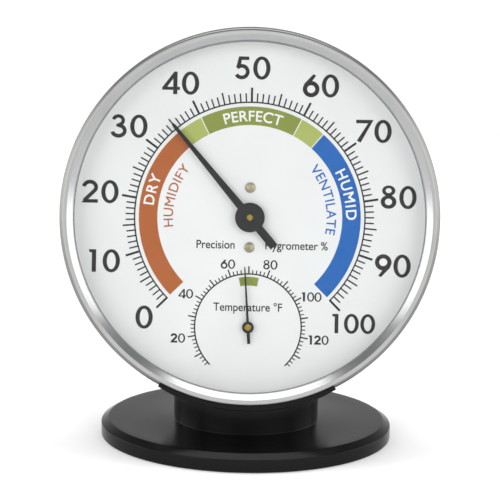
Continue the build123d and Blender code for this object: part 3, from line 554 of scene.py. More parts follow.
# ==== Materials ====
class Finish:
    """One node material, built up step by step from noise, ramps and mixes."""

    def __init__(self, name):
        self.material = bpy.data.materials.new(name)
        self.material.use_nodes = True
        self.tree = self.material.node_tree
        self.shader = self.tree.nodes["Principled BSDF"]
        self.place = self.node("ShaderNodeTexCoord").outputs["Object"]

    def node(self, kind, **settings):
        made = self.tree.nodes.new(kind)
        for key, value in settings.items():
            setattr(made, key, value)
        return made

    def join(self, source, target):
        if hasattr(source, "is_output"):
            self.tree.links.new(source, target)
        else:
            target.default_value = source

    def noise(self, per_mm, detail=3.0, stretch=(1, 1, 1), rough=0.5, place=None):
        """Noise from 0 to 1 with about per_mm cells in each millimetre."""
        mapping = self.node("ShaderNodeMapping")
        mapping.inputs["Scale"].default_value = stretch
        self.join(place or self.place, mapping.inputs["Vector"])
        made = self.node("ShaderNodeTexNoise")
        self.join(mapping.outputs[0], made.inputs["Vector"])
        made.inputs["Scale"].default_value = per_mm / MM
        made.inputs["Detail"].default_value = detail
        made.inputs["Roughness"].default_value = rough
        return made.outputs["Fac"]

    def ramp(self, value, start, stop, low=0.0, high=1.0):
        """Straight-line map of a value between two limits."""
        made = self.node("ShaderNodeMapRange")
        self.join(value, made.inputs["Value"])
        for name, number in (("From Min", start), ("From Max", stop), ("To Min", low), ("To Max", high)):
            made.inputs[name].default_value = number
        return made.outputs["Result"]

    def maths(self, operation, first, second=0.5):
        made = self.node("ShaderNodeMath", operation=operation)
        self.join(first, made.inputs[0])
        self.join(second, made.inputs[1])
        return made.outputs[0]

    def mix(self, share, first, second, blend="MIX"):
        made = self.node("ShaderNodeMix", data_type="RGBA", blend_type=blend)
        self.join(share, made.inputs["Factor"])
        self.join(first, made.inputs[6])
        self.join(second, made.inputs[7])
        return made.outputs[2]

    def up_facing(self):
        """1 on faces that look up, 0 on faces that look sideways or down."""
        geometry = self.node("ShaderNodeNewGeometry")
        split = self.node("ShaderNodeSeparateXYZ")
        self.join(geometry.outputs["Normal"], split.inputs[0])
        return self.ramp(split.outputs["Z"], 0.2, 0.95)

    def worn_edges(self):
        """1 on outward edges of the mesh, 0 elsewhere."""
        geometry = self.node("ShaderNodeNewGeometry")
        return self.ramp(geometry.outputs["Pointiness"], 0.56, 0.7)

    def radius(self):
        """Distance from the dial axis and height along it, for turned parts."""
        split = self.node("ShaderNodeSeparateXYZ")
        self.join(self.place, split.inputs[0])
        across = self.node("ShaderNodeCombineXYZ")
        self.join(split.outputs["X"], across.inputs["X"])
        self.join(split.outputs["Y"], across.inputs["Y"])
        length = self.node("ShaderNodeVectorMath", operation="LENGTH")
        self.join(across.outputs[0], length.inputs[0])
        return length.outputs["Value"], split.outputs["Z"]

    def turned_lines(self, per_mm):
        """Fine concentric machining lines: noise that changes with radius and depth only."""
        radius, depth = self.radius()
        joined = self.node("ShaderNodeCombineXYZ")
        self.join(radius, joined.inputs["X"])
        self.join(depth, joined.inputs["Y"])
        return self.noise(per_mm, 4.0, place=joined.outputs[0])

    def bump(self, height, distance, strength=1.0):
        """Raises the surface by up to the given millimetres."""
        made = self.node("ShaderNodeBump")
        made.inputs["Strength"].default_value = strength
        made.inputs["Distance"].default_value = distance * MM
        self.join(height, made.inputs["Height"])
        previous = self.shader.inputs["Normal"]
        if previous.is_linked:
            self.join(previous.links[0].from_socket, made.inputs["Normal"])
        self.join(made.outputs[0], previous)

    def set(self, **values):
        names = {
            "colour": "Base Color", "rough": "Roughness", "metal": "Metallic",
            "gloss": "Specular IOR Level", "grain": "Anisotropic",
        }
        for key, value in values.items():
            self.join(value, self.shader.inputs[names[key]])
        return self


def srgb(red, green, blue):
    """Linear colour from 8-bit display values."""
    linear = []
    for value in (red, green, blue):
        share = value / 255
        linear.append(share / 12.92 if share <= 0.04045 else ((share + 0.055) / 1.055) ** 2.4)
    return (*linear, 1)


def moulded_plastic(name, dark, light, rough, gloss, grain_height, dust):
    """Injection-moulded plastic: fine spark-eroded grain, soft patches of polish, a little dust on top."""
    finish = Finish(name)
    patch = finish.noise(0.03, 2)
    grain = finish.noise(5.0, 2)
    colour = finish.mix(finish.ramp(patch, 0.2, 0.8), dark, light)
    specks = finish.ramp(finish.noise(2.2, 3, rough=0.7), 0.66, 0.80, 0, dust)
    colour = finish.mix(finish.maths("MULTIPLY", specks, finish.up_facing()), colour, srgb(150, 148, 145))
    polish = finish.ramp(finish.noise(0.06, 2), 0.2, 0.8, rough - 0.03, rough + 0.04)
    polish = finish.maths("ADD", polish, finish.ramp(grain, 0.3, 0.7, 0.0, 0.03))
    finish.set(colour=colour, rough=polish, gloss=gloss)
    finish.bump(grain, grain_height, 0.5)
    return finish.material


def turned_metal(name, bevel, crest, polished, line_height):
    """Turned bezel: satin bevel and crest and a polished funnel facet, with concentric lines. The bevel's
    darker base colour is painted shade, standing in for the darker reflections it catches.
    """
    finish = Finish(name)
    lines = finish.turned_lines(9.0)
    smear = finish.noise(0.05, 4)
    radius, depth = finish.radius()
    facet = finish.ramp(radius, (CREST_INNER + 0.1) * MM, (CREST_INNER - 0.1) * MM)
    above = finish.ramp(depth, (FACET_BACK - 0.1) * MM, (FACET_BACK + 0.1) * MM)
    facet = finish.maths("MULTIPLY", facet, above)
    # Painted shade: outside the crest the bezel takes the darker bevel colour, which stands in for the
    # bevel's darker reflections.
    outside = finish.ramp(radius, (CREST_OUTER - 0.1) * MM, (CREST_OUTER + 0.3) * MM)
    colour = finish.mix(facet, finish.mix(outside, crest, bevel), polished)
    colour = finish.mix(finish.ramp(lines, 0.3, 0.7, 0.0, 0.16), colour, srgb(120, 118, 116))
    colour = finish.mix(finish.ramp(smear, 0.5, 0.75, 0.0, 0.12), colour, srgb(96, 94, 92))
    polish = finish.ramp(facet, 0, 1, 0.34, 0.20)
    polish = finish.maths("ADD", polish, finish.ramp(lines, 0.25, 0.75, -0.05, 0.06))
    finish.set(colour=colour, rough=polish, metal=1.0, grain=0.4)
    tangent = finish.node("ShaderNodeTangent", direction_type="RADIAL", axis="Z")
    finish.join(tangent.outputs[0], finish.shader.inputs["Tangent"])
    finish.bump(lines, line_height, 0.5)
    return finish.material


def fine_metal(name, dark, light, rough, per_mm=3.0, stretch=(1, 1, 1), scratch=0.004):
    """Small metal parts: faint drawn or barrelled marks, tarnish in soft patches."""
    finish = Finish(name)
    marks = finish.noise(per_mm, 4, stretch)
    tarnish = finish.noise(0.4, 4)
    colour = finish.mix(finish.ramp(tarnish, 0.35, 0.7), light, dark)
    colour = finish.mix(finish.ramp(marks, 0.3, 0.8, 0.0, 0.35), colour, dark)
    finish.set(colour=colour, rough=finish.ramp(marks, 0.25, 0.75, rough - 0.06, rough + 0.1), metal=1.0)
    finish.bump(marks, scratch, 0.6)
    return finish.material


def rubber(name, colour, rough=0.75):
    finish = Finish(name)
    crumb = finish.noise(2.5, 5, rough=0.65)
    light = tuple(min(1, channel * 1.9 + 0.01) for channel in colour[:3]) + (1,)
    finish.set(colour=finish.mix(finish.ramp(crumb, 0.35, 0.75), colour, light), gloss=0.3)
    finish.set(rough=finish.ramp(crumb, 0.3, 0.7, rough - 0.1, rough + 0.12))
    finish.bump(crumb, 0.03, 0.7)
    return finish.material


def lacquer(name, low_tone, high_tone):
    """White silk lacquer on sheet metal: faint orange peel, very slight change of tone."""
    finish = Finish(name)
    tone = finish.noise(0.03, 3)
    peel = finish.noise(1.4, 3)
    colour = finish.mix(finish.ramp(tone, 0.3, 0.7), low_tone, high_tone)
    finish.set(colour=colour, gloss=0.35, rough=finish.ramp(peel, 0.3, 0.7, 0.42, 0.55))
    finish.bump(peel, 0.008, 0.5)
    finish.bump(finish.noise(9.0, 2), 0.002, 0.5)
    return finish.material


def ink(name, colour, spread=0.10, rough=0.55):
    """Screen-printed ink: small changes of film thickness and a mesh-fine texture."""
    finish = Finish(name)
    film = finish.noise(0.5, 5, rough=0.6)
    weave = finish.noise(7.0, 2)
    thin = tuple(channel + (0.8 - channel) * spread for channel in colour[:3]) + (1,)
    thick = tuple(channel * (1 - spread) for channel in colour[:3]) + (1,)
    finish.set(colour=finish.mix(finish.ramp(film, 0.3, 0.7), thick, thin), gloss=0.3)
    finish.set(rough=finish.ramp(weave, 0.3, 0.7, rough - 0.08, rough + 0.08))
    finish.bump(weave, 0.003, 0.6)
    return finish.material


def satin_paint(name, colour, rough=0.38):
    """Painted pointer metal with fine grain and slight edge wear."""
    finish = Finish(name)
    grain = finish.noise(6.0, 3)
    light = tuple(channel * 1.6 + 0.004 for channel in colour[:3]) + (1,)
    tone = finish.mix(finish.ramp(finish.noise(0.4, 4), 0.3, 0.7), colour, light)
    worn = finish.maths("MULTIPLY", finish.worn_edges(), 0.3)
    tone = finish.mix(worn, tone, srgb(120, 118, 116))
    finish.set(colour=tone, rough=finish.ramp(grain, 0.3, 0.7, rough - 0.06, rough + 0.08), gloss=0.4)
    finish.bump(grain, 0.004, 0.6)
    return finish.material


def clear_pane(name):
    """Thin clear acrylic: light goes straight through, and its outer faces reflect at a grazing angle."""
    finish = Finish(name)
    tree = finish.tree
    smudge = finish.noise(0.05, 5, rough=0.6)
    clear = finish.node("ShaderNodeBsdfTransparent")
    hazy = (0.945, 0.949, 0.948, 1)
    clean = (0.951, 0.954, 0.953, 1)
    finish.join(finish.mix(finish.ramp(smudge, 0.3, 0.7), hazy, clean), clear.inputs["Color"])
    gloss = finish.node("ShaderNodeBsdfGlossy")
    finish.join(finish.ramp(smudge, 0.4, 0.75, 0.03, 0.14), gloss.inputs["Roughness"])
    fresnel = finish.node("ShaderNodeFresnel")
    fresnel.inputs["IOR"].default_value = 1.22
    hairlines = finish.ramp(finish.noise(2.2, 3, stretch=(0.05, 1, 1)), 0.72, 0.80, 0.0, 0.012)
    inside = finish.node("ShaderNodeNewGeometry").outputs["Backfacing"]
    shine = finish.maths("ADD", fresnel.outputs[0], hairlines)
    shine = finish.maths("MULTIPLY", shine, finish.maths("SUBTRACT", 1.0, inside))
    blend = finish.node("ShaderNodeMixShader")
    finish.join(shine, blend.inputs[0])
    finish.join(clear.outputs[0], blend.inputs[1])
    finish.join(gloss.outputs[0], blend.inputs[2])
    finish.join(blend.outputs[0], tree.nodes["Material Output"].inputs["Surface"])
    tree.nodes.remove(finish.shader)
    return finish.material


def hair_strands(name):
    """Pale synthetic fibre with streaks along its length."""
    finish = Finish(name)
    strands = finish.noise(6.0, 3, stretch=(1, 1, 0.04))
    finish.set(colour=finish.mix(strands, srgb(120, 96, 62), srgb(222, 205, 170)), rough=0.45, gloss=0.4)
    finish.bump(strands, 0.03, 0.8)
    return finish.material


def studio_floor(name):
    finish = Finish(name)
    tone = finish.mix(finish.noise(0.01, 3), (0.86, 0.86, 0.86, 1), (0.89, 0.89, 0.89, 1))
    finish.set(colour=tone, rough=0.6, gloss=0.15)
    finish.shader.inputs["Emission Color"].default_value = (1, 1, 1, 1)
    finish.shader.inputs["Emission Strength"].default_value = 0.17
    return finish.material


# Darker and lighter tone, roughness, gloss, height of the grain in millimetres, dust.
black_plastic = moulded_plastic(
    "black_plastic", srgb(12, 11, 13), srgb(16, 15, 17), 0.20, 0.14, 0.006, 0.04
)
case_plastic = moulded_plastic(
    "case_plastic", srgb(27, 27, 29), srgb(37, 37, 39), 0.46, 0.30, 0.030, 0.12
)
white_plastic = moulded_plastic(
    "white_plastic", srgb(214, 214, 211), srgb(228, 228, 226), 0.50, 0.40, 0.012, 0.0
)
# Bevel (darker, painted shade on the same metal), crest and funnel facet, height of the turned lines in
# millimetres.
satin_metal = turned_metal(
    "satin_metal", srgb(128, 128, 127), srgb(180, 180, 179), srgb(170, 171, 172), 0.003
)
pad_rubber = rubber("pad_rubber", srgb(38, 38, 39))
gasket_rubber = rubber("gasket_rubber", srgb(124, 125, 128), 0.6)
plated_steel = fine_metal("plated_steel", srgb(150, 152, 155), srgb(196, 198, 200), 0.30, 2.0, (0.1, 1, 1))
spring_steel = fine_metal("spring_steel", srgb(70, 84, 118), srgb(118, 130, 158), 0.24, 3.0, (0.1, 1, 1))
bimetal = fine_metal("bimetal", srgb(150, 132, 104), srgb(190, 180, 160), 0.32, 3.0, (0.1, 1, 1))
brass = fine_metal("brass", srgb(150, 122, 52), srgb(216, 186, 98), 0.24, 4.0)
nickel_brass = fine_metal("nickel_brass", srgb(150, 142, 120), srgb(192, 185, 163), 0.50, 4.0)
clear_window = clear_pane("clear_window")
dial_lacquer = lacquer("dial_lacquer", (0.80, 0.81, 0.81, 1), (0.83, 0.84, 0.84, 1))
ink_black = ink("ink_black", srgb(40, 37, 36), 0.02)
ink_white = ink("ink_white", srgb(240, 240, 238), 0.03)
ink_orange = ink("ink_orange", srgb(176, 94, 38), 0.03)
ink_green = ink("ink_green", srgb(134, 146, 62), 0.03)
ink_light_green = ink("ink_light_green", srgb(170, 182, 98), 0.03)
ink_blue = ink("ink_blue", srgb(16, 98, 180), 0.03)
pointer_black = satin_paint("pointer_black", srgb(25, 24, 25), 0.5)
synthetic_hair = hair_strands("synthetic_hair")


# ==== Stand ====
def neck_top(x, y):
    """Height of the underside of the case's cylinder above a point of the foot."""
    reach = CRADLE_OUTER - NECK_SINK
    tilt = math.asin(dial_out.z)
    centre_y = dial_centre.y / MM
    centre_z = dial_centre.z / MM
    return centre_z - (math.sqrt(reach ** 2 - x ** 2) + (y - centre_y) * math.sin(tilt)) / math.cos(tilt)


def foot_and_neck():
    """Oval foot with its hollow underside and the neck, as one closed skin of oval rings."""
    foot_section = rounded([
        (RIM_WALL, POCKET_TOP, 0),
        (RIM_WALL, RIM_BOTTOM, 0.2),
        (0, RIM_BOTTOM, 0.4),
        (0, BASE_TOP - CHAMFER_HEIGHT, 0.35),
        (CHAMFER_WIDTH, BASE_TOP, 0.3),
        (CHAMFER_WIDTH + FOOT_RUN_IN, BASE_TOP, 0),
    ])
    rings = [(BASE_HALF_WIDTH - inset, BASE_HALF_DEPTH - inset, z) for inset, z in foot_section]
    for outset, z in arc((NECK_FILLET, BASE_TOP + NECK_FILLET), (NECK_FILLET, NECK_FILLET), -90, -180, 6):
        rings.append((NECK_HALF_WIDTH + outset, NECK_HALF_DEPTH + outset, z))
    verts = []
    for half_width, half_depth, z in rings:
        verts += [(x, y, z) for x, y in ellipse((0, 0), (half_width, half_depth), SEGMENTS)]
    low_z = BASE_TOP + NECK_FILLET
    for share in (0.0, 0.5, 1.0):
        for x, y in ellipse((0, 0), (NECK_HALF_WIDTH, NECK_HALF_DEPTH), SEGMENTS):
            top_z = max(neck_top(x, y), low_z + 0.02)
            verts.append((x, y, low_z + (top_z - low_z) * share))
    for share in (0.8, 0.6, 0.4, 0.2, 0.04):
        for x, y in ellipse((0, 0), (NECK_HALF_WIDTH * share, NECK_HALF_DEPTH * share), SEGMENTS):
            verts.append((x, y, neck_top(x, y)))
    count = len(verts) // SEGMENTS
    faces = [tuple(range(SEGMENTS))]
    for ring in range(count - 1):
        for index in range(SEGMENTS):
            here = ring * SEGMENTS + index
            across = ring * SEGMENTS + (index + 1) % SEGMENTS
            faces.append((here, across, across + SEGMENTS, here + SEGMENTS))
    faces.append(tuple(range((count - 1) * SEGMENTS, count * SEGMENTS)))
    return mesh_from("foot", verts, faces)


def cradle():
    section = rounded([
        (CRADLE_CASE_SEAT, CRADLE_BACK, 0.3),
        (CRADLE_OUTER, CRADLE_BACK, 0.8),
        (CRADLE_OUTER, CRADLE_FRONT, 0.5),
        (CRADLE_LIP_INNER, CRADLE_FRONT, 0.1),
        (CRADLE_LIP_INNER, CRADLE_LIP_BACK, 0.1),
        *((radius, z, 0) for radius, z in CRADLE_HOLLOW),
        (CRADLE_RING_SEAT, CRADLE_STEP, 0),
        (CRADLE_CASE_SEAT, CRADLE_STEP, 0.2),
    ], 4)
    mesh = lathe_mesh("cradle", section, -90, CRADLE_HALF_ANGLE)
    for vertex in mesh.vertices:
        x, y = vertex.co.x, vertex.co.y
        from_end = CRADLE_HALF_ANGLE - math.degrees(abs(math.atan2(x, -y)))
        radius = math.hypot(x, y)
        if radius > (CRADLE_RING_SEAT + 0.2) * MM and from_end < CRADLE_TAPER_ANGLE:
            thinner = (1 - from_end / CRADLE_TAPER_ANGLE) * CRADLE_TAPER * MM
            vertex.co.x -= thinner * x / radius
            vertex.co.y -= thinner * y / radius
    return tidy_edges(mesh, 0.35, 60)


def backstop():
    section = [
        (BACKSTOP_INNER, CRADLE_BACK),
        (BACKSTOP_ROOT, CRADLE_BACK + 0.02),
        (BACKSTOP_ROOT, BACKSTOP_FRONT),
        (BACKSTOP_INNER, BACKSTOP_FRONT),
    ]
    return tidy_edges(lathe_mesh("backstop", section, -90, BACKSTOP_HALF_ANGLE), 0.5, 60)


stand_mesh = combined(foot_and_neck(), [cradle(), backstop()], "UNION", dial_matrix)
stand = add_object("stand_moulding", stand_mesh, black_plastic, "stand", Matrix.Identity(4), 35)
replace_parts(stand, "stand")


# ==== Case ====
def grub_holes():
    """Radial cutters for the three grub screws."""
    cutters = []
    for turn in GRUB_ANGLES:
        drum = bar_mesh(circle((0, 0), GRUB_HOLE, 32), CASE_OUTER - 2 * CASE_WALL, RING_OUTER + 1)
        tip_over = Matrix.Rotation(math.radians(90), 4, "Y")
        lift = Matrix.Translation((0, 0, GRUB_Z * MM))
        drum.transform(lift @ Matrix.Rotation(math.radians(turn), 4, "Z") @ tip_over)
        cutters.append(drum)
    return cutters


ring_section = rounded([
    *((x, z, 0.05) for x, z in BEVEL),
    (RING_OUTER, RING_BACK, 0.4),
    (RING_SKIRT_INNER, RING_BACK, 0.2),
    (RING_SKIRT_INNER, SHELF_Z, 0),
    (OPENING_RADIUS, SHELF_Z, 0.1),
    (OPENING_RADIUS, OPENING_FRONT, 0.12),
    (OPENING_RADIUS + OPENING_CHAMFER, OPENING_FRONT + OPENING_CHAMFER, 0.12),
    (CREST_INNER, 0, 0.12),
], 4)
ring_mesh = combined(lathe_mesh("ring", ring_section), grub_holes(), "DIFFERENCE")
ring = add_object("bezel", ring_mesh, satin_metal, "case", dial_matrix, 24)
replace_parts(ring, "bezel_ring")

pane_section = rounded([
    (0, WINDOW_BACK, 0),
    (DIAL_RADIUS, WINDOW_BACK, 0.2),
    (DIAL_RADIUS, GASKET_BACK, 0.2),
    (0, GASKET_BACK, 0),
])
pane = add_object("pane", lathe_mesh("pane", pane_section), clear_window, "case", dial_matrix)
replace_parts(pane, "window")

plate_holes = [
    circle((0, 0), DIAL_RADIUS, SEGMENTS),
    circle((0, 0), BUSH_HOLE),
    circle((0, THERMO_Y), THERMO_BUSH_HOLE),
    circle((0, SCREW_Y), SCREW_HOLE),
    circle((0, -SCREW_Y), SCREW_HOLE),
]
sheet_mesh = film_mesh("dial_sheet", [plate_holes], DIAL_BACK, DIAL_FRONT - DIAL_BACK)
plate = add_object("dial_sheet", sheet_mesh, dial_lacquer, "case", dial_matrix, 0)
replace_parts(plate, "dial_plate")

case_section = rounded([
    (0, CASE_BACK, 0),
    (CASE_OUTER, CASE_BACK, CASE_EDGE_ROUND),
    (CASE_OUTER, DIAL_BACK, 0.2),
    (CASE_OUTER - CASE_WALL, DIAL_BACK, 0.2),
    (CASE_OUTER - CASE_WALL, CASE_BACK + CASE_WALL, CASE_EDGE_ROUND - CASE_WALL),
    (0, CASE_BACK + CASE_WALL, 0),
], 8)


def vent_outlines():
    outlines = []
    for radius in VENT_RADII:
        for side in (90, -90):
            ends = (side - VENT_HALF_ANGLE, side + VENT_HALF_ANGLE)
            outlines.append(ring_sector(radius - VENT_WIDTH / 2, radius + VENT_WIDTH / 2, *ends))
    return outlines


def keyhole_outline():
    half = HANGER_SLOT_WIDTH / 2
    hole = HANGER_HOLE_RADIUS
    slot_end = arc((0, HANGER_Y + HANGER_SLOT_RISE), (half, half), 0, 180, 16)
    root = math.degrees(math.asin(half / hole))
    return slot_end + arc((0, HANGER_Y), (hole, hole), 90 + root, 450 - root, 40)


def rear_cutters():
    outlines = [keyhole_outline(), circle((POST_X, POST_Y), ACCESS_RADIUS)] + vent_outlines()
    back, front = CASE_BACK - 1, CASE_BACK + CASE_WALL + 1
    return [bar_mesh(outline, back, front) for outline in outlines] + grub_holes()


case_mesh = combined(lathe_mesh("cup", case_section), rear_cutters(), "DIFFERENCE")
rear = add_object("rear_cup", case_mesh, case_plastic, "case", dial_matrix)
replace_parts(rear, "rear_case")


# ==== Pointers ====
def pointer_outline(hub, arm, tail):
    """Outline of a blade that points straight up, from its tail round the hub to its tip and back."""
    tail_length, tail_half = tail
    lower = math.degrees(math.asin(tail_half / hub))
    upper = math.degrees(math.asin(arm[0][1] / hub))
    right = [(tail_half, -tail_length)]
    right += arc((0, 0), (hub, hub), -90 + lower, 90 - upper, 24)
    right += [(half, y) for y, half in arm[1:]]
    return right + [(-x, y) for x, y in reversed(right)]


def pointer(name, outline, back, front, turn, y, body, stands_for):
    place = dial_matrix @ Matrix.Translation((0, y * MM, 0)) @ Matrix.Rotation(math.radians(turn), 4, "Z")
    blade = plate_mesh(name, outline, back, front, POINTER_EDGE)
    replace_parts(add_object(name, blade, pointer_black, body, place), stands_for)


def collar(name, size, back, y, body):
    radius, length, bore = size
    place = dial_matrix @ Matrix.Translation((0, y * MM, 0))
    foot = back - length
    section = rounded([(bore, foot, 0), (radius, foot, 0.1), (radius, back, 0), (bore, back, 0)])
    add_object(name, lathe_mesh(name, section), pointer_black, body, place)


big_outline = pointer_outline(HUMIDITY_HUB, HUMIDITY_ARM, HUMIDITY_TAIL)
pointer("big_pointer", big_outline, HUMIDITY_BACK, HUMIDITY_FRONT, HUMIDITY_REST, 0,
        "humidity_hand", "humidity_pointer")
collar("big_pointer_collar", HUMIDITY_COLLAR, HUMIDITY_BACK, 0, "humidity_hand")

small_outline = pointer_outline(TEMPERATURE_HUB, TEMPERATURE_ARM, TEMPERATURE_TAIL)
pointer("small_pointer", small_outline, TEMPERATURE_BACK, TEMPERATURE_FRONT, TEMPERATURE_REST, THERMO_Y,
        "temperature_hand", "thermometer_pointer")
collar("small_pointer_collar", TEMPERATURE_COLLAR, TEMPERATURE_BACK, THERMO_Y, "temperature_hand")


# ==== Printing on the dial ====
def print_mesh(name, mesh, material):
    add_object(name, mesh, material, "case", dial_matrix, 0)


def print_layers(name, layers, material):
    """Printed film on the dial; crossing layers differ a little in height."""
    print_mesh(name, film_mesh(name, layers, DIAL_FRONT, INK_THICK, LAYER_STEP), material)


def scale_layers(centre, radius, line, span, ticks):
    """An arc line with its marks: ticks are (clock, outer radius, width)."""
    layers = [[ring_sector(radius - line / 2, radius + line / 2, -span, span)]]
    layers += [[tick(radius, outer, width, clock)] for clock, outer, width in ticks]
    return [[[(x + centre[0], y + centre[1]) for x, y in loop] for loop in layer] for layer in layers]


def step_class(value):
    return 10 if value % 10 == 0 else 5 if value % 5 == 0 else 1


percent_ticks = []
for percent in range(101):
    kind = step_class(percent)
    clock = (percent - 50) * SCALE_SPAN / 50
    percent_ticks.append((clock, TICK_ENDS[kind] * PRINT, TICK_WIDTHS[kind] * PRINT))
percent_line = SCALE_LINE * PRINT
percent_span = SCALE_SPAN + SCALE_OVERRUN
percent_scale = scale_layers((0, 0), SCALE_RADIUS * PRINT, percent_line, percent_span, percent_ticks)
print_layers("percent_scale", percent_scale, ink_black)

thermo_ticks = []
for fahrenheit in THERMO_MARKS_F:
    long_mark = fahrenheit % 10 == 0
    clock = (fahrenheit - THERMO_TOP_F) * THERMO_DEGREES_PER_F
    outer = THERMO_TICK_LONG if long_mark else THERMO_TICK_SHORT
    width = THERMO_TICK_WIDE if long_mark else THERMO_TICK_THIN
    thermo_ticks.append((clock, outer * PRINT, width * PRINT))
thermo_line = THERMO_TICK_WIDE * PRINT
thermo_scale = scale_layers((0, THERMO_Y), THERMO_RADIUS * PRINT, thermo_line, THERMO_SPAN, thermo_ticks)
print_layers("temperature_scale", thermo_scale, ink_black)

ZONES = (
    ("zone_dry", 0, 35, ink_orange),
    ("zone_low", 35, 40, ink_light_green),
    ("zone_perfect", 40, 60, ink_green),
    ("zone_high", 60, 65, ink_light_green),
    ("zone_humid", 65, 100, ink_blue),
)
for name, first, last, material in ZONES:
    gap = math.degrees(ZONE_GAP / 2 / ZONE_OUTER)
    start = (first - 50) * SCALE_SPAN / 50 + (gap if first > 0 else 0)
    stop = (last - 50) * SCALE_SPAN / 50 - (gap if last < 100 else 0)
    band = [[ring_sector(ZONE_INNER * PRINT, ZONE_OUTER * PRINT, start, stop)]]
    print_layers(name, band, material)
patch_radii = (THERMO_PATCH_INNER * PRINT, THERMO_PATCH_OUTER * PRINT)
comfort = [(x, y + THERMO_Y) for x, y in ring_sector(*patch_radii, -THERMO_PATCH_SPAN, THERMO_PATCH_SPAN)]
print_layers("comfort_patch", [[comfort]], ink_green)

# Middle of each number: millimetres right of and above the centre of its scale.
PERCENT_NUMBERS = {
    0: (-36.0, -35.1), 10: (-50.1, -15.8), 20: (-51.9, 8.1), 30: (-42.2, 30.9), 40: (-24.7, 46.1),
    50: (-0.1, 51.75), 60: (23.8, 46.0), 70: (42.4, 30.6), 80: (51.4, 7.9), 90: (49.8, -15.9),
    100: (36.6, -36.2),
}
numbers = []
for value, (x, y) in PERCENT_NUMBERS.items():
    cap = NUMERAL_CAP_100 if value == 100 else NUMERAL_CAP
    numbers += number_layers(str(value), cap * NUMBER_PRINT, (x * NUMBER_PRINT, y * NUMBER_PRINT))
print_layers("percent_numbers", numbers, ink_black)

TEMPERATURE_NUMBERS = {
    20: (-24.2, -4.15), 40: (-21.7, 11.25), 60: (-7.3, 21.75), 80: (7.4, 21.75), 100: (21.9, 10.85),
    120: (24.6, -4.05),
}
numbers = []
for value, (x, y) in TEMPERATURE_NUMBERS.items():
    centre = (x * NUMBER_PRINT, y * NUMBER_PRINT + THERMO_Y)
    numbers += number_layers(str(value), THERMO_CAP * NUMBER_PRINT, centre, THERMO_CAP_WEIGHT)
print_layers("temperature_numbers", numbers, ink_black)

# Words along an arc: text, cap height, clock angle, radius, weight, letter spacing, base, ink.
ON_ZONE = DIAL_FRONT + 1.1 * INK_THICK
CURVED_WORDS = {
    "word_dry": ("DRY", ZONE_WORD_CAP, -75.2, 35.0, 0.07, 1.15, ON_ZONE, ink_white),
    "word_perfect": ("PERFECT", ZONE_WORD_CAP, 0.7, 34.8, 0.07, 1.04, ON_ZONE, ink_white),
    "word_humid": ("HUMID", ZONE_WORD_CAP, 75.7, 34.8, 0.07, 1.15, ON_ZONE, ink_white),
    "word_humidify": ("HUMIDIFY", HINT_WORD_CAP, -74.9, 28.0, 0.03, 1.08, DIAL_FRONT, ink_orange),
    "word_ventilate": ("VENTILATE", HINT_WORD_CAP, 75.8, 28.0, 0.04, 1.08, DIAL_FRONT, ink_blue),
}
for name, (text, cap, clock, radius, weight, spacing, z, material) in CURVED_WORDS.items():
    bend = on_clock_arc(radius * PRINT, clock, cap * PRINT)
    print_mesh(name, word_mesh(name, text, cap * PRINT, bend, weight, spacing, z), material)

STRAIGHT_WORDS = {
    "word_precision": ("Precision", (-11.6, -9.35)),
    "word_hygrometer": ("Hygrometer %", (16.1, -9.4)),
    "word_temperature": ("Temperature °F", (-0.2, THERMO_Y / PRINT + 6.9)),
}
for name, (text, (x, y)) in STRAIGHT_WORDS.items():
    cap = DIAL_WORD_CAP * PRINT
    spot = at_point((x * PRINT, y * PRINT), cap, DIAL_WORD_WIDTH)
    print_mesh(name, word_mesh(name, text, cap, spot, DIAL_WORD_WEIGHT), ink_black)


# ==== Finishes of the parts that keep their CAD shape ====
KEPT = (
    (plated_steel, "ballast_plate ballast_screws grub_screws calibration_post thermometer_bracket"),
    (spring_steel, "sector_stud sector_clip hairspring friction_washer"),
    (brass, "humidity_bush pillars movement_frame humidity_arbor pinion toothed_sector hair_crimp"),
    (brass, "thermometer_bush thermometer_arbor"),
    (nickel_brass, "dial_screws"),
    (bimetal, "bimetal_coil"),
    (pad_rubber, "foot_pad"),
    (gasket_rubber, "window_gasket"),
    (white_plastic, "spacer_ring"),
    (synthetic_hair, "hair_bundle"),
)
for finish, nodes in KEPT:
    for node in nodes.split():
        piece = frame["nodes"][node]
        piece.data.materials.clear()
        piece.data.materials.append(finish)


# ==== Floor, light and camera: lengths in metres ====
FLOOR_RADIUS = 0.65
rim = circle((0, 0), FLOOR_RADIUS, 96)
floor_mesh = bpy.data.meshes.new("floor")
floor_mesh.from_pydata([(x, y, 0) for x, y in rim], [], [range(len(rim))])
floor = bpy.data.objects.new("floor", floor_mesh)
bpy.context.scene.collection.objects.link(floor)
floor_mesh.materials.append(studio_floor("floor"))


def soft_light(name, place, size, power, aim=(0, 0, 0.07)):
    lamp = bpy.data.lights.new(name, "AREA")
    lamp.shape = "RECTANGLE"
    lamp.size, lamp.size_y = size
    lamp.energy = power
    made = bpy.data.objects.new(name, lamp)
    made.location = place
    made.rotation_euler = (Vector(aim) - Vector(place)).to_track_quat("-Z", "Y").to_euler()
    bpy.context.scene.collection.objects.link(made)
    return made


lights = [
    soft_light("top_light", (0, 0.10, 1.0), (0.9, 0.5), 4.2),
    soft_light("left_panel", (-0.95, 0.05, 0.35), (0.8, 0.7), 3.6),
    soft_light("right_panel", (0.95, 0.05, 0.35), (0.8, 0.7), 3.6),
    soft_light("left_front", (-0.75, -1.0, 0.6), (0.9, 0.9), 4.6),
    soft_light("right_front", (0.75, -1.0, 0.6), (0.9, 0.9), 4.6),
]


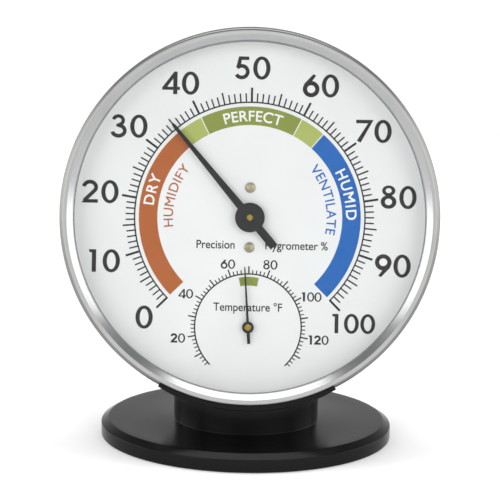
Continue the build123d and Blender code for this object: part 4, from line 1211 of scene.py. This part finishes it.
def studio_world():
    """White near the horizon and below it, grey overhead, so that bright metal shows its shape."""
    world = bpy.data.worlds.new("studio")
    world.use_nodes = True
    tree = world.node_tree
    background = tree.nodes["Background"]
    direction = tree.nodes.new("ShaderNodeTexCoord")
    split = tree.nodes.new("ShaderNodeSeparateXYZ")
    tree.links.new(direction.outputs["Generated"], split.inputs[0])
    height = tree.nodes.new("ShaderNodeMapRange")
    tree.links.new(split.outputs["Z"], height.inputs["Value"])
    for name, number in (("From Min", 0.25), ("From Max", 0.75), ("To Min", 1.06), ("To Max", 0.36)):
        height.inputs[name].default_value = number
    tree.links.new(height.outputs["Result"], background.inputs["Strength"])
    background.inputs["Color"].default_value = (1.0, 1.0, 1.0, 1)
    return world


bpy.context.scene.world = studio_world()
bpy.context.scene.view_settings.view_transform = "Standard"

FOCAL_LENGTH = 136.5           # mm, for a sensor 36 mm wide
SENSOR = 36.0
DISTANCE = 0.650
ELEVATION = 12.84
YAW = 0.4                      # the camera stands this many degrees to the left
ROLL = 1.1
BEZEL_HEIGHT = 0.065           # the bezel's middle above the picture's, as a share of its width

yaw = math.radians(YAW)
rise = math.radians(ELEVATION)
roll = math.radians(ROLL)
back = Vector((-math.sin(yaw) * math.cos(rise), -math.cos(yaw) * math.cos(rise), math.sin(rise)))
level_right = Vector((0, 0, 1)).cross(back).normalized()
level_up = back.cross(level_right)
rolled_right = math.cos(roll) * level_right + math.sin(roll) * level_up
rolled_up = -math.sin(roll) * level_right + math.cos(roll) * level_up
look = (back + rolled_up * BEZEL_HEIGHT * SENSOR / FOCAL_LENGTH).normalized()
camera_right = (rolled_right - look * rolled_right.dot(look)).normalized()
camera_up = look.cross(camera_right)
camera_data = bpy.data.cameras.new("camera")
camera_data.sensor_width = SENSOR
camera_data.lens = FOCAL_LENGTH
camera = bpy.data.objects.new("camera", camera_data)
camera_turn = Matrix((camera_right, camera_up, look)).transposed().to_4x4()
camera.matrix_world = Matrix.Translation(dial_centre + back * DISTANCE) @ camera_turn
bpy.context.scene.collection.objects.link(camera)
bpy.context.scene.camera = camera
